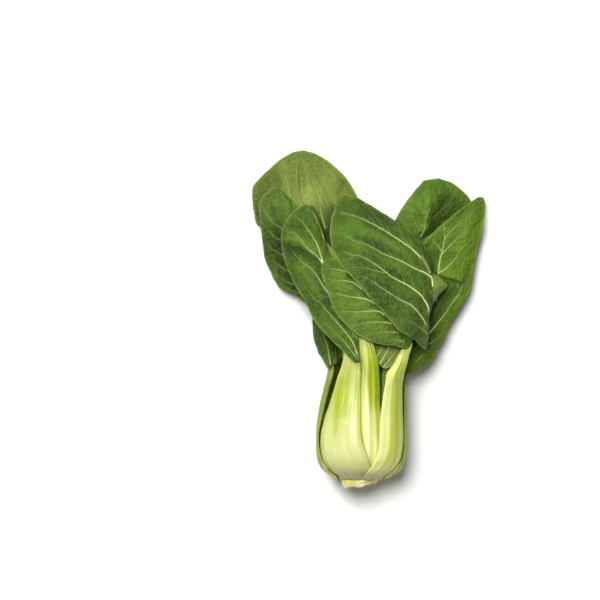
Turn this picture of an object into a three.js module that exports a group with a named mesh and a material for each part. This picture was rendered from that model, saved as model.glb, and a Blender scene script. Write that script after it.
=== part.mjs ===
// A head of green-stemmed bok choy, cut and lying on its back.
//
// Millimetres, +Z up. The head lies along Y: the cut butt is at -Y and the leaf tips at +Y.
// The origin is under the middle of the head, on the surface that it lies on.
//
// Each leaf is a stalk (with its midrib) and a blade. Below the waist the stalks wrap round the
// bulb's axis, each one over those inside it. Above the waist the leaves open out and lie on
// each other, so every midrib and blade is draped over what lies below it.

import * as THREE from 'three';

// ---------------------------------------------------------------- driving dimensions

const AXIS = { x: -5.8, z: 30.6 };   // the bulb's axis runs along Y through here
const CUT_Y = -113.6;                // the cut face
const BUTT_RADIUS = 12.4;            // of the cut stump
const BUTT_CENTRE_X = -6.5;
const BUTT_COLLAR = 13.3;            // where the outer leaves grow from it
const BUTT_SHOULDER = 9;             // the stump narrows from this far above its cut
const BUTT_TAPER = 0.62;             // by this much of its radius for each millimetre
const BLADE_THICKNESS = 0.9;
const STALK_EDGE = 1.7;              // thickness of a stalk at its thin edges
const MIDRIB_EDGE = 0.9;             // and of its midrib near the leaf's tip
const STALK_THINNEST = 1.1;          // where it is squeezed between its neighbours
const GAP = 0.4;                     // between neighbours that touch
const LOOSENESS = 0.15;              // more of a gap, where stalks wrap the bulb
const STEEP_BELOW = -100;            // below here the stalks turn in towards the butt
const STEEP_LOOSENESS = 1.3;         // and need this much more of a gap
const STIFFNESS = 0.9;               // how much of a lift a leaf passes on along itself
const REST_HEIGHT = 0.6;             // the underside is flat up to this height

// heights along the head at which the stalks have a section
const LEVELS = [
  -108.4, -106.4, -103.6, -99.8, -94.5, -87, -78, -68, -57, -47, -38, -31, -25,
];
const LEVEL_STEP = 10;   // between the midribs' sections above those

// ---------------------------------------------------------------- small helpers

const radians = THREE.MathUtils.degToRad;
const smoothstep = THREE.MathUtils.smoothstep;
const lerp = THREE.MathUtils.lerp;

// A smooth track through rows of numbers, each row starting with the value it is looked up by.
function track(rows) {
  return (at) => {
    const last = rows.length - 1;
    if (at <= rows[0][0]) return rows[0];
    if (at >= rows[last][0]) return rows[last];
    let i = 0;
    while (at > rows[i + 1][0]) i += 1;
    const width = rows[i + 1][0] - rows[i][0];
    const t = (at - rows[i][0]) / width;
    return rows[i].map((value, k) => {
      const slope = (j) => {
        const a = rows[Math.max(j - 1, 0)];
        const b = rows[Math.min(j + 1, last)];
        return (b[k] - a[k]) / (b[0] - a[0]);
      };
      const next = rows[i + 1][k];
      const h = t * t * (3 - 2 * t);
      const bend = t * (1 - t) * ((1 - t) * slope(i) - t * slope(i + 1)) * width;
      return value + (next - value) * h + bend;
    });
  };
}

function curve(points) {
  const corners = points.map(([x, y, z]) => new THREE.Vector3(x, y, z));
  return new THREE.CatmullRomCurve3(corners, false, 'centripetal');
}

function meshOf(positions, triangles) {
  const geometry = new THREE.BufferGeometry();
  geometry.setAttribute('position', new THREE.Float32BufferAttribute(positions.flat(), 3));
  geometry.setIndex(triangles.flat());
  geometry.computeVertexNormals();
  return geometry;
}

// ---------------------------------------------------------------- what lies below

// The highest points of each laid piece, in a grid of 1 mm cells.
const PILE_SIZE = 260;
const pile = new Map();

function cellAt(x, y) {
  return (Math.round(y) + PILE_SIZE / 2) * PILE_SIZE + Math.round(x) + PILE_SIZE / 2;
}

// Calls visit with points no more than a millimetre apart, all over a triangle.
function scan(a, b, c, visit) {
  const side = (p, q) => Math.hypot(q[0] - p[0], q[1] - p[1]);
  const steps = Math.max(1, Math.ceil(Math.max(side(a, b), side(b, c), side(c, a)) / 0.8));
  for (let i = 0; i <= steps; i += 1) {
    for (let j = 0; j <= steps - i; j += 1) {
      const [u, v] = [i / steps, j / steps];
      const mix = (k) => a[k] + (b[k] - a[k]) * u + (c[k] - a[k]) * v;
      visit(mix(0), mix(1), mix(2));
    }
  }
}

function lay(name, positions, triangles) {
  const heights = new Float32Array(PILE_SIZE * PILE_SIZE);
  triangles.forEach(([a, b, c]) => {
    scan(positions[a], positions[b], positions[c], (x, y, z) => {
      const k = cellAt(x, y);
      heights[k] = Math.max(heights[k], z);
    });
  });
  pile.set(name, heights);
}

// The top of the pile without the pieces to be skipped, a cell wider all round.
function pileTop(skip) {
  const top = new Float32Array(PILE_SIZE * PILE_SIZE);
  pile.forEach((heights, name) => {
    if (skip.includes(name)) return;
    for (let k = PILE_SIZE + 1; k < top.length - PILE_SIZE - 1; k += 1) {
      if (heights[k] === 0) continue;
      for (let down = -PILE_SIZE; down <= PILE_SIZE; down += PILE_SIZE) {
        for (let left = -1; left <= 1; left += 1) {
          top[k + down + left] = Math.max(top[k + down + left], heights[k]);
        }
      }
    }
  });
  return top;
}

// How far each corner has to rise for the faces round it to clear what lies below.
function rises(positions, triangles, skip) {
  const top = pileTop(skip);
  const rise = new Array(positions.length).fill(0);
  triangles.forEach((corners) => {
    let need = 0;
    scan(...corners.map((k) => positions[k]), (x, y, z) => {
      const below = top[cellAt(x, y)];
      need = Math.max(need, (below > 0 ? below + GAP : 0) - z);
    });
    corners.forEach((k) => {
      rise[k] = Math.max(rise[k], need);
    });
  });
  return rise;
}

// How far out from the bulb's axis the stalks reach so far, by angle (2 degree cells) and level.
const wrap = {
  heights: new Float32Array(180 * LEVELS.length),
  cell(level, degrees) {
    return level * 180 + ((Math.round(degrees / 2) % 180) + 180) % 180;
  },
  lay(level, degrees, radius) {
    const k = this.cell(level, degrees);
    this.heights[k] = Math.max(this.heights[k], radius);
  },
  inside(level, degrees, reach) {
    let top = 0;
    for (let turn = -reach; turn <= reach; turn += 2) {
      top = Math.max(top, this.heights[this.cell(level, degrees + turn)]);
    }
    return top;
  },
};

// ---------------------------------------------------------------- butt

// The stump: turned about the bulb's axis, with a ragged, slightly sloping cut face.
function butt() {
  const profile = [
    [0, CUT_Y + 1.2], [5.5, CUT_Y + 0.8], [10.6, CUT_Y + 0.4], [BUTT_RADIUS, CUT_Y + 2.6],
    [BUTT_RADIUS + 0.4, CUT_Y + 4.6], [BUTT_COLLAR, CUT_Y + 6.8], [BUTT_COLLAR, CUT_Y + 9],
    [11, CUT_Y + 12], [8.2, CUT_Y + 17], [5.2, CUT_Y + 22], [0, CUT_Y + 28],
  ];
  const geometry = new THREE.LatheGeometry(profile.map(([r, y]) => new THREE.Vector2(r, y)), 22);
  const positions = geometry.attributes.position;
  for (let i = 0; i < positions.count; i += 1) {
    const x = positions.getX(i);
    const y = positions.getY(i);
    const z = positions.getZ(i);
    const around = Math.atan2(z, x);
    const low = smoothstep(CUT_Y + 7 - y, 0, 6);
    const radius = Math.hypot(x, z);
    const ragged = 0.6 * Math.sin(3 * around + 0.6) + 0.45 * Math.sin(7 * around);
    const swell = 1 + low * 0.035 * Math.sin(5 * around + 1.1);
    const slope = 1.6 * (x / BUTT_RADIUS);
    positions.setXYZ(i, x * swell, y + low * (ragged * (radius / BUTT_RADIUS) + slope), z * swell);
  }
  geometry.translate(BUTT_CENTRE_X, 0, AXIS.z);
  geometry.computeVertexNormals();
  return geometry;
}

function wrapButt() {
  LEVELS.forEach((y, level) => {
    const up = y - CUT_Y;
    const narrowed = Math.max(up - BUTT_SHOULDER, 0) * BUTT_TAPER;
    const radius = Math.max(BUTT_RADIUS + GAP - narrowed, 0);
    for (let degrees = 0; degrees < 360; degrees += 2) wrap.lay(level, degrees, radius);
  });
}

// ---------------------------------------------------------------- stalks

// A stalk's sections. round: [y, from angle, to angle, outer radius, thickness], where it wraps
// the bulb. free: [y, x, z, facing angle, half width, thickness], where it has left it.
// crown: how much lower its two edges lie than its middle. ribs: lengthwise ridges. edge: how
// thick its two edges are, where they are thicker than most.
function stalkRows(leaf) {
  const round = track(leaf.round);
  const free = track(leaf.free);
  const [roundEnd, freeStart] = leaf.leaves;
  const tipY = leaf.free[leaf.free.length - 1][0];
  const levels = LEVELS.filter((y) => y >= leaf.round[0][0] - 0.01 && y < tipY - 4);
  const upper = tipY - levels[levels.length - 1];
  const extra = Math.max(1, Math.round(upper / LEVEL_STEP));
  const last = levels[levels.length - 1];
  for (let i = 1; i <= extra; i += 1) levels.push(last + (upper * i) / extra);
  return levels.map((y) => {
    const [, from, to, radius, thick] = round(y);
    const [, x, z, facing, half, ribThick] = free(y);
    const away = smoothstep(y, roundEnd, freeStart);
    return { y, from, to, radius, thick, x, z, facing, half, ribThick, away };
  });
}

function stalkEdge(s, thick, edge) {
  return edge + (thick - edge) * (1 - Math.abs(s) ** 2.2);
}

function ridges(leaf, s) {
  const fine = (leaf.ribHeight ?? 0.3) * Math.cos(Math.PI * leaf.ribs * (s + 1)) * (1 - s * s);
  const main = leaf.keel ? 1.1 * Math.exp(-(((s - leaf.keel) / 0.16) ** 2)) : 0;
  return fine + main;
}

// One point of a section: s runs across it from -1 to 1, depth in from its outer face.
function stalkPoint(leaf, row, s, outer, depth) {
  const angle = radians(lerp(row.from, row.to, (s + 1) / 2));
  const r = outer - depth;
  const wrapped = [AXIS.x + r * Math.cos(angle), row.y, AXIS.z + r * Math.sin(angle)];
  const turn = radians(row.facing);
  const bow = row.half * (leaf.bow ?? 0.3);
  const down = bow * s * s + depth - ridges(leaf, s) * 0.5;
  const across = row.half * s;
  const x = row.x + Math.sin(turn) * across - Math.cos(turn) * down;
  const z = row.z - Math.cos(turn) * across - Math.sin(turn) * down;
  return [
    lerp(wrapped[0], x, row.away),
    row.y,
    lerp(wrapped[2], z, row.away),
  ];
}

function stalk(leaf) {
  const rows = stalkRows(leaf);
  const outerCount = leaf.across ?? 12;
  const innerCount = outerCount / 2;
  const ring = outerCount + innerCount + 2;
  const positions = [];
  rows.forEach((row) => {
    const level = LEVELS.indexOf(row.y);
    const turn = Math.abs(row.to - row.from) / outerCount + 2;
    const outer = [];
    const depth = [];
    for (let j = 0; j <= outerCount; j += 1) {
      const s = (2 * j) / outerCount - 1;
      const angle = lerp(row.from, row.to, j / outerCount);
      const crown = s < 0 ? leaf.crown[0] : leaf.crown[1];
      const tip = smoothstep(row.y, roundTip(leaf)[0], roundTip(leaf)[1]);
      const edge = lerp(leaf.edge ?? STALK_EDGE, MIDRIB_EDGE, tip);
      let face = row.radius - crown * Math.abs(s) ** 2.5 + ridges(leaf, s);
      let thick = stalkEdge(s, lerp(row.thick, row.ribThick, row.away), edge);
      if (level >= 0 && row.away < 1) {
        const gap = GAP + (row.y < STEEP_BELOW ? STEEP_LOOSENESS : LOOSENESS);
        const inside = wrap.inside(level, angle, Math.ceil(turn)) + gap;
        thick = Math.min(thick, Math.max(face - inside, STALK_THINNEST));
        face = Math.max(face, inside + thick);
      }
      outer.push(face);
      depth.push(thick);
    }
    for (let j = 0; j <= outerCount; j += 1) {
      positions.push(stalkPoint(leaf, row, (2 * j) / outerCount - 1, outer[j], 0));
    }
    for (let j = outerCount; j >= 0; j -= 2) {
      positions.push(stalkPoint(leaf, row, (2 * j) / outerCount - 1, outer[j], depth[j]));
    }
    if (level >= 0 && row.away < 1) {
      for (let step = 0; step <= outerCount * 6; step += 1) {
        const j = Math.min(Math.floor(step / 6), outerCount - 1);
        const f = step / 6 - j;
        const angle = lerp(row.from, row.to, step / (outerCount * 6));
        wrap.lay(level, angle, lerp(outer[j], outer[j + 1], f));
      }
    }
  });
  return { leaf, rows, ring, outerCount, innerCount, positions };
}

function roundTip(leaf) {
  const tipY = leaf.free[leaf.free.length - 1][0];
  return [tipY - 40, tipY];
}

// The faces between two rings, and the caps.
function stalkTriangles({ rows, ring, outerCount, innerCount }) {
  const triangles = [];
  for (let i = 0; i < rows.length - 1; i += 1) {
    for (let j = 0; j < ring; j += 1) {
      const a = i * ring + j;
      const b = i * ring + ((j + 1) % ring);
      triangles.push([a, b, a + ring], [b, b + ring, a + ring]);
    }
  }
  const cap = (start, flip) => {
    for (let k = 0; k < innerCount; k += 1) {
      const inner = start + ring - 1 - k;
      const [a, b, c] = [start + 2 * k, start + 2 * k + 1, start + 2 * k + 2];
      const faces = [[a, b, inner], [b, inner - 1, inner], [b, c, inner - 1]];
      faces.forEach(([p, q, r]) => triangles.push(flip ? [p, r, q] : [p, q, r]));
    }
  };
  cap(0, true);
  cap((rows.length - 1) * ring, false);
  return triangles;
}

// Lifts a midrib clear of what lies below it, smoothly along its length.
function drapeStalk(made, triangles) {
  const { leaf, rows, ring, positions } = made;
  const rise = rises(positions, triangles, leaf.skips ?? []);
  const lift = rows.map((row, i) => {
    if (row.away < 1) return 0;
    return Math.max(...rise.slice(i * ring, (i + 1) * ring));
  });
  for (let pass = 0; pass < 12; pass += 1) {
    for (let i = 1; i < rows.length; i += 1) {
      const after = lift[Math.min(i + 1, rows.length - 1)];
      const even = STIFFNESS * (lift[i - 1] + after) / 2;
      if (rows[i].away > 0) lift[i] = Math.max(lift[i], even);
    }
  }
  positions.forEach((point, k) => {
    point[2] += lift[Math.floor(k / ring)];
  });
}

// Keeps the underside of the outermost stalk above the surface, flat where it rests.
function restFlat({ positions }) {
  positions.forEach((point) => {
    if (point[2] < REST_HEIGHT) point[2] = 0;
  });
}

// ---------------------------------------------------------------- blades

// A blade between its two margins, with its midrib between them. s runs from -1 at the left
// margin, through the midrib, to 1 at the right one.
function bladeGrid(blade) {
  const left = curve(blade.left);
  const middle = curve(blade.middle);
  const right = curve(blade.right);
  const { rows, columns } = blade;
  const grid = [];
  for (let i = 0; i <= rows; i += 1) {
    const v = i / rows;
    const l = left.getPointAt(v);
    const m = middle.getPointAt(v);
    const r = right.getPointAt(v);
    const open = Math.sin(Math.PI * Math.min(1, 1.08 * v + 0.06)) ** 0.5;
    for (let j = 0; j <= columns; j += 1) {
      const s = (2 * j) / columns - 1;
      const margin = s < 0 ? l : r;
      const out = Math.abs(s);
      const point = m.clone().lerp(margin, out);
      const arch = 4 * out * (1 - out) * (blade.arch ?? 2.5);
      const wave = out ** 3 * (blade.wave ?? 0.9)
        * Math.sin(2 * Math.PI * (blade.waves ?? 5) * v + (s < 0 ? 0 : 1.7));
      grid.push([point.x, point.y, point.z + (arch + wave) * open]);
    }
  }
  return grid;
}

// Lifts a blade clear of what lies below it. The lift spreads out, as on a springy leaf.
function drapeBlade(leaf, grid) {
  const { rows, columns } = leaf.blade;
  const wide = columns + 1;
  const near = (i, j) => {
    const row = THREE.MathUtils.clamp(i, 0, rows);
    return row * wide + THREE.MathUtils.clamp(j, 0, columns);
  };
  const around = (k) => {
    const [i, j] = [Math.floor(k / wide), k % wide];
    return [near(i - 1, j), near(i + 1, j), near(i, j - 1), near(i, j + 1)];
  };
  const depth = grid.map((point, k) => {
    const [a, b, c, d] = around(k).map((n) => new THREE.Vector3(...grid[n]));
    const normal = d.sub(c).cross(b.sub(a)).normalize();
    return BLADE_THICKNESS / Math.max(Math.abs(normal.z), 0.6);
  });
  const under = grid.map(([x, y, z], k) => [x, y, z - depth[k]]);
  const lift = rises(under, bladeFaces(leaf.blade), leaf.skips ?? []);
  for (let pass = 0; pass < 30; pass += 1) {
    grid.forEach((point, k) => {
      const sum = around(k).reduce((total, n) => total + lift[n], 0);
      lift[k] = Math.max(lift[k], STIFFNESS * sum / 4);
    });
  }
  const upper = grid.map(([x, y, z], k) => [x, y, z + lift[k]]);
  const lower = under.map(([x, y, z], k) => [x, y, z + lift[k]]);
  return [...upper, ...lower];
}

// The faces of one side of a blade.
function bladeFaces({ rows, columns }) {
  const wide = columns + 1;
  const faces = [];
  for (let i = 0; i < rows; i += 1) {
    for (let j = 0; j < columns; j += 1) {
      const a = i * wide + j;
      faces.push([a, a + 1, a + wide + 1], [a, a + wide + 1, a + wide]);
    }
  }
  return faces;
}

function bladeTriangles({ rows, columns }) {
  const wide = columns + 1;
  const count = (rows + 1) * wide;
  const faces = bladeFaces({ rows, columns });
  const triangles = [...faces, ...faces.map(([a, b, c]) => [a + count, c + count, b + count])];
  const rim = [];
  for (let j = 0; j < columns; j += 1) rim.push(j);
  for (let i = 0; i < rows; i += 1) rim.push(i * wide + columns);
  for (let j = columns; j > 0; j -= 1) rim.push(rows * wide + j);
  for (let i = rows; i > 0; i -= 1) rim.push(i * wide);
  rim.forEach((a, k) => {
    const b = rim[(k + 1) % rim.length];
    triangles.push([a, a + count, b], [b, a + count, b + count]);
  });
  return triangles;
}

// ---------------------------------------------------------------- the leaves

const LEAVES = {
  front_left: {
    round: [
      [-108.4, 172, 74, 15.6, 1.6], [-106.2, 174, 74, 18.6, 4.4], [-103.8, 175, 74, 22.4, 5.6],
      [-100.5, 176, 76, 25.4, 6.2], [-96, 177, 79, 28, 6.6], [-90, 177, 85, 29.5, 6.6],
      [-82, 175, 89.5, 30, 6.4], [-73, 168, 91, 29.6, 6], [-64, 155, 91.4, 28.8, 5.6],
      [-55, 145, 91.4, 28, 5.2], [-46, 137, 91.5, 27.2, 5], [-38, 131, 91.5, 26.6, 4.6],
      [-31, 125.5, 92.6, 26.2, 4.4], [-25, 121, 95, 26, 4.2],
    ],
    free: [
      [-38, -13.8, 56.2, 100, 7.4, 4.6], [-25, -12.6, 54.4, 98, 5.4, 4.2],
      [-10, -14.5, 48, 95, 4.4, 4], [10, -21, 39, 92, 3.6, 3.4],
      [35, -30, 28, 90, 2.8, 2.8], [60, -37.5, 21, 90, 1.8, 2], [72, -40.5, 19, 90, 1.1, 1.3],
    ],
    leaves: [-42, -22],
    crown: [2.4, 0.9],
    ribs: 6,
    across: 16,
    blade: {
      left: [
        [-11, -28.8, 57.6], [-18.7, -21.1, 54.5], [-28.2, -12.2, 49], [-37, -2, 42],
        [-44, 12, 35], [-50, 21.5, 31], [-55.5, 33, 26], [-59, 44, 22], [-60, 58, 20],
        [-55.5, 69, 19.6], [-48.5, 76, 20], [-43, 78.5, 20.6],
      ],
      middle: [
        [-8.5, -28.6, 58], [-11, -15, 54], [-16.5, 0, 48.6], [-24, 20, 42.6],
        [-32, 40, 34], [-37.5, 58, 27], [-41, 77.5, 21],
      ],
      right: [
        [-7.2, -28.2, 57.8], [-8, -15, 54], [-9, 0, 49], [-9.6, 18, 44], [-16, 32, 39.6],
        [-24, 40.5, 35], [-29.5, 51, 30], [-32.6, 62, 26], [-35.5, 72, 22.6],
        [-39.4, 77.6, 21.2],
      ],
      rows: 19, columns: 12, arch: 1.6, wave: 0.8, waves: 5,
    },
  },

  middle: {
    round: [
      [-100.5, 110, 48, 21.6, 5], [-96, 108, 50, 24, 5], [-90, 106, 52, 25.6, 5],
      [-82, 105, 54, 26.8, 5.2], [-73, 104, 55.5, 26.9, 5.2], [-64, 103, 57, 26.4, 5],
      [-55, 102, 58.5, 25.8, 4.8], [-46, 101, 58, 25.4, 4.6], [-38, 99, 60, 25.4, 4.4],
      [-31, 97, 64, 25.6, 4.2], [-25, 95, 67, 25.8, 4],
    ],
    free: [
      [-38, 0, 56.2, 88, 8, 4.6], [-25, -1.2, 56.4, 90, 5.6, 4.2], [-12, -3.4, 54.4, 90, 4.4, 3.8],
      [10, -8, 46, 90, 3.6, 3.2], [35, -18.6, 34, 90, 2.8, 2.6], [60, -37, 22, 90, 1.7, 1.6],
      [85, -48.2, 15.5, 90, 0.9, 1.1], [106, -49, 12.5, 90, 0.6, 0.9],
    ],
    leaves: [-42, -24],
    crown: [1.8, 1.8],
    ribs: 4,
    across: 14,
    blade: {
      left: [
        [-5.5, -24, 50], [-12.6, -8, 47], [-13, 8, 42], [-16, 26, 33], [-24, 42, 23],
        [-38, 53, 14.5], [-58, 59, 10], [-72.6, 61.4, 8.4], [-77.6, 66, 8], [-79, 75, 8],
        [-80.4, 86, 8.2], [-79.4, 90.6, 8.8], [-76, 95, 9.8], [-69, 102, 11.2],
        [-60, 109.5, 12.5], [-52, 114, 13.5],
      ],
      middle: [
        [0, -25, 50.5], [-3.5, -10, 49], [-8, 12, 42], [-18.6, 36, 31], [-34.6, 60, 22],
        [-46.6, 85, 17], [-49, 114.6, 13.5],
      ],
      right: [
        [3.5, -27, 51], [8, -33, 50.6], [19, -30, 47.4], [24.5, -20, 47], [26, -4, 43],
        [23, 18, 37], [15, 42, 27], [4, 62, 19], [-6, 79, 15], [-13.5, 93, 13.5],
        [-24, 104.5, 13.5], [-35, 112, 13.5], [-45, 115.3, 13.5],
      ],
      rows: 22, columns: 12, arch: 2, wave: 0.9, waves: 6,
    },
  },

  front_right: {
    round: [
      [-108.4, 85, 12, 15.6, 1.6], [-106.2, 85, 6, 18.8, 4.4], [-103.8, 81, 3, 22.8, 5.6],
      [-100.5, 76, 1, 26.2, 6.4], [-96, 70.5, 0, 28.8, 6.8], [-90, 66.5, 0, 30, 6.6],
      [-82, 64.5, 1, 30.5, 6.2], [-73, 63.8, 3, 30.3, 6], [-64, 62.2, 5, 30.2, 5.6],
      [-55, 60, 8, 30.4, 5.4], [-46, 57.5, 11, 30.8, 5.2], [-38, 53, 14, 31, 5],
    ],
    free: [
      [-38, 18.4, 55.5, 64, 6.9, 5], [-31, 21, 55.4, 66, 4.9, 4.8], [-25, 23, 55.4, 72, 3.9, 4.4],
      [-15, 25.6, 54.6, 84, 3, 4], [-5, 17, 53.6, 90, 3, 3.6], [12, 0, 51, 90, 2.6, 3.2],
      [28, -14, 48, 90, 2, 2.6], [37, -22, 46, 90, 1.2, 1.6],
    ],
    leaves: [-50, -34],
    crown: [0.5, 3.2],
    ribs: 5,
    keel: -0.36,
    across: 16,
    blade: {
      left: [
        [24, -20, 57.6], [20.7, -19.2, 58], [13.9, -17.9, 59.5], [6.5, -17, 60.5],
        [-2.4, -13.6, 60.5], [-9.9, -9.5, 59], [-15, -5, 57.5], [-20.5, 0.5, 56],
        [-25, 7, 54.5], [-27.6, 15, 53], [-30.5, 23.5, 51.5], [-33, 32, 49.5],
        [-31.6, 39.2, 48.6],
      ],
      middle: [
        [25.6, -18.6, 58], [20.5, -9.5, 58.4], [11, 3, 58], [0, 15.5, 57], [-10, 26.5, 55.4],
        [-20, 34.5, 52.5], [-30, 40, 49.2],
      ],
      right: [
        [27.6, -16.6, 57.4], [29.6, -9, 57], [25, 1, 56.5], [15, 12, 56], [4, 24, 55],
        [-7, 34.5, 53], [-18, 40, 51], [-28.6, 41, 49.4],
      ],
      rows: 14, columns: 12, arch: 1.5, wave: 0.7, waves: 5,
    },
  },

  left: {
    round: [
      [-108.4, 224, 162, 15.6, 1.6], [-106.2, 224, 161, 19.6, 4.4], [-103.8, 224, 160, 24.4, 5.4],
      [-100.5, 224, 160, 27.4, 6.6], [-96, 224, 161, 29.5, 7.4], [-90, 224, 163, 30.5, 7.6],
      [-82, 223, 165, 30.6, 7.2], [-73, 222, 166, 30.2, 6.6], [-64, 219, 166, 29.2, 5.8],
      [-55, 215, 165, 27.4, 5], [-46, 211, 164, 25.1, 4.6], [-38, 207, 163, 23.4, 4.4],
      [-31, 204, 162, 22, 4.2],
    ],
    free: [
      [-40, -28.9, 28.4, 185, 9, 4.4], [-31, -27.4, 24.4, 194, 8.4, 4.2],
      [-22, -27.6, 19, 222, 8, 4.2], [-13, -29.2, 15.4, 242, 7, 4], [2, -32.6, 11.6, 262, 5.2, 3.8],
      [25, -40, 11, 270, 3.8, 3.4], [48, -49, 11, 270, 2.8, 2.8], [70, -57.5, 10, 270, 1.8, 2],
      [82, -61, 10, 270, 1.1, 1.4],
    ],
    leaves: [-48, -30],
    crown: [2.4, 0.3],
    edge: 2.6,
    ribs: 4,
    across: 12,
    skips: ['heart_a_stalk', 'heart_a_blade', 'middle_stalk', 'top_stalk'],
    blade: {
      left: [
        [-28.4, -33.5, 33], [-33.5, -25, 26], [-37, -17.7, 20], [-38.6, -7.5, 16],
        [-39.4, 3, 15], [-45, 12.5, 14.5], [-55, 17.5, 13], [-62, 22, 11], [-67.5, 32, 9],
        [-71.5, 42, 8], [-73.2, 55, 8], [-74.6, 68, 9], [-75.3, 79, 10.5], [-70.5, 86, 12],
        [-65.5, 89.6, 13],
      ],
      middle: [
        [-25.5, -31, 29], [-28, -17, 22], [-32, 3, 18.5], [-40, 25, 18], [-49, 48, 17.5],
        [-57, 69, 16], [-63.6, 90, 13.2],
      ],
      right: [
        [-22.5, -30, 25], [-23, -17, 20], [-25, 0, 18.5], [-30, 20, 19], [-36, 38, 20],
        [-40.5, 56, 20], [-44.5, 70, 19], [-50, 79.4, 17], [-56, 85, 15], [-61.6, 89.6, 13.2],
      ],
      rows: 20, columns: 12, arch: 1.8, wave: 0.9, waves: 6,
    },
  },

  right: {
    round: [
      [-108.4, 24, -42, 15.6, 1.6], [-106.2, 27, -42, 22, 4.6], [-103.8, 27, -42, 26.4, 5.6],
      [-100.5, 25, -42, 28.6, 6.8], [-96, 21, -42, 30, 7.4], [-90, 17, -42, 30.5, 7.6],
      [-82, 14, -42, 30.6, 7.2],
      [-73, 13, -42, 30.6, 6.6], [-64, 13, -40, 30.6, 5.8], [-55, 13, -37, 30.2, 5],
      [-46, 12, -34, 29.6, 4.6], [-38, 9, -31, 29.2, 4.4], [-31, 4, -29, 29.2, 4.2],
    ],
    free: [
      [-42, 22.6, 25.6, 348, 9, 4.4], [-33, 27.6, 21.6, 325, 7.8, 4.2],
      [-24, 34.4, 17.8, 296, 6.2, 4], [-12, 39.2, 16, 274, 4.8, 3.8], [5, 41.4, 15, 270, 4, 3.6],
      [25, 45, 13, 270, 3.2, 3.2], [45, 49.5, 10.5, 270, 2.4, 2.6], [62, 54.5, 8.5, 270, 1.7, 2],
      [73, 63, 7, 270, 1, 1.4],
    ],
    leaves: [-48, -32],
    crown: [0.3, 2.4],
    edge: 2,
    ribs: 4,
    across: 12,
    blade: {
      left: [
        [24.4, -36.8, 31], [25.8, -30, 28], [28.6, -23, 26], [31.4, -16, 25], [30, -5, 22],
        [26.5, 9, 18], [21, 26, 14], [24, 42, 12], [35.4, 51.4, 12.6], [45, 60.2, 13.4],
        [55, 69, 13.8], [65, 77, 14], [74.6, 83.2, 14],
      ],
      middle: [
        [26.4, -36.8, 30.6], [33.4, -28.6, 27], [38.8, -19, 25], [40.4, -6, 23.6], [41.6, 6, 22],
        [44.6, 20, 19.6], [47.6, 35, 17.4], [50.6, 52, 15.6], [56.5, 65.5, 14.4], [66, 75.5, 14],
        [76.4, 83.2, 14],
      ],
      right: [
        [28, -36.4, 29], [37.2, -32.6, 25], [42.4, -28, 22.4], [46.6, -21, 20.4], [51, -13, 19],
        [54.7, -4.1, 18], [61.5, 6.1, 16.6], [67, 15.6, 15.4], [69.8, 24, 14.6], [71.4, 34, 14],
        [73.2, 44, 13.8], [76.4, 56, 13.8], [78.4, 68, 14], [79.5, 78, 14.2], [78.2, 82.9, 14.2],
      ],
      rows: 22, columns: 12, arch: 1.5, wave: 0.8, waves: 6,
    },
  },

  top: {
    round: [
      [-96, 42, -22, 17, 4.4], [-90, 42, -22, 18.6, 4.6], [-82, 42, -20, 19.6, 4.8],
      [-73, 43, -14, 20, 4.8], [-64, 44, -6, 20.4, 4.6], [-55, 45, 4, 21, 4.4],
      [-46, 46, 14, 22, 4.2], [-38, 46, 22, 23, 4.2],
    ],
    free: [
      [-42, 12, 44, 50, 5, 4.2], [-30, 16.4, 43, 66, 4.4, 4], [-18, 21.6, 41.6, 84, 4, 3.8],
      [-8, 27.4, 41, 90, 3.8, 3.6], [4, 34.4, 40.6, 90, 3.4, 3.4], [20, 38, 38, 90, 3, 3],
      [32, 37.4, 36, 90, 2.6, 2.6], [44, 28, 33, 90, 2.2, 2.2], [56, 13, 29, 90, 1.6, 1.8],
      [66, -3, 25, 90, 1, 1.3],
    ],
    leaves: [-48, -34],
    crown: [0.6, 0.6],
    ribs: 3,
    across: 10,
    blade: {
      left: [
        [37.2, -21, 47.8], [33, -16.3, 52], [28.2, -12.9, 56.4], [23.5, -10.2, 60],
        [19.2, -7.8, 61.5], [13.6, -1, 61.5], [7, 6.4, 61], [0, 14, 60], [-8.5, 24.2, 57.5],
        [-14, 30.4, 54.5], [-18.6, 35, 51], [-22.4, 41.5, 46], [-25.6, 48, 40],
        [-26.7, 57, 34], [-26.4, 67, 29], [-23.6, 75, 26], [-21.8, 80.5, 24.6],
      ],
      middle: [
        [38.2, -20.6, 47.4], [38.2, -10, 51], [39, 2, 52.4], [40.4, 14, 51.2], [41, 25, 48.4],
        [38.6, 35.4, 45.2], [30, 46, 42], [15, 57, 38], [0, 65.6, 34.4], [-12, 71.4, 30.6],
        [-20.4, 81.8, 24.8],
      ],
      right: [
        [39.2, -19.4, 39], [40.3, -8, 36], [41, 3, 35], [43.8, 11.6, 35.4], [48.6, 17.8, 36],
        [52.6, 23.2, 35.4], [47, 28.4, 36.4], [42.6, 32.4, 36.6], [41, 40.6, 34.6],
        [38.4, 48.6, 32.6], [31, 56, 31], [20, 65, 29.4], [10, 71.6, 28], [0, 78, 26.6],
        [-9, 83, 25], [-18.6, 85.2, 24.4],
      ],
      rows: 22, columns: 12, arch: 2.2, wave: 0.8, waves: 6,
    },
  },

  back_right: {
    round: [
      [-108.4, -34, -72, 15.6, 1.6], [-106.2, -34, -72, 19.4, 4.4], [-103.8, -34, -72, 25.2, 5.2],
      [-100.5, -34, -72, 28.2, 6.2],
      [-96, -34, -72, 29.8, 7], [-90, -34, -72, 30.4, 7.2], [-82, -34, -72, 30.6, 7],
      [-73, -34, -71, 30.6, 6.4], [-64, -34, -70, 30.4, 5.6], [-55, -35, -68, 30, 5],
      [-46, -37, -65, 29.6, 4.6], [-38, -39, -62, 29.4, 4.4],
    ],
    free: [
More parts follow.
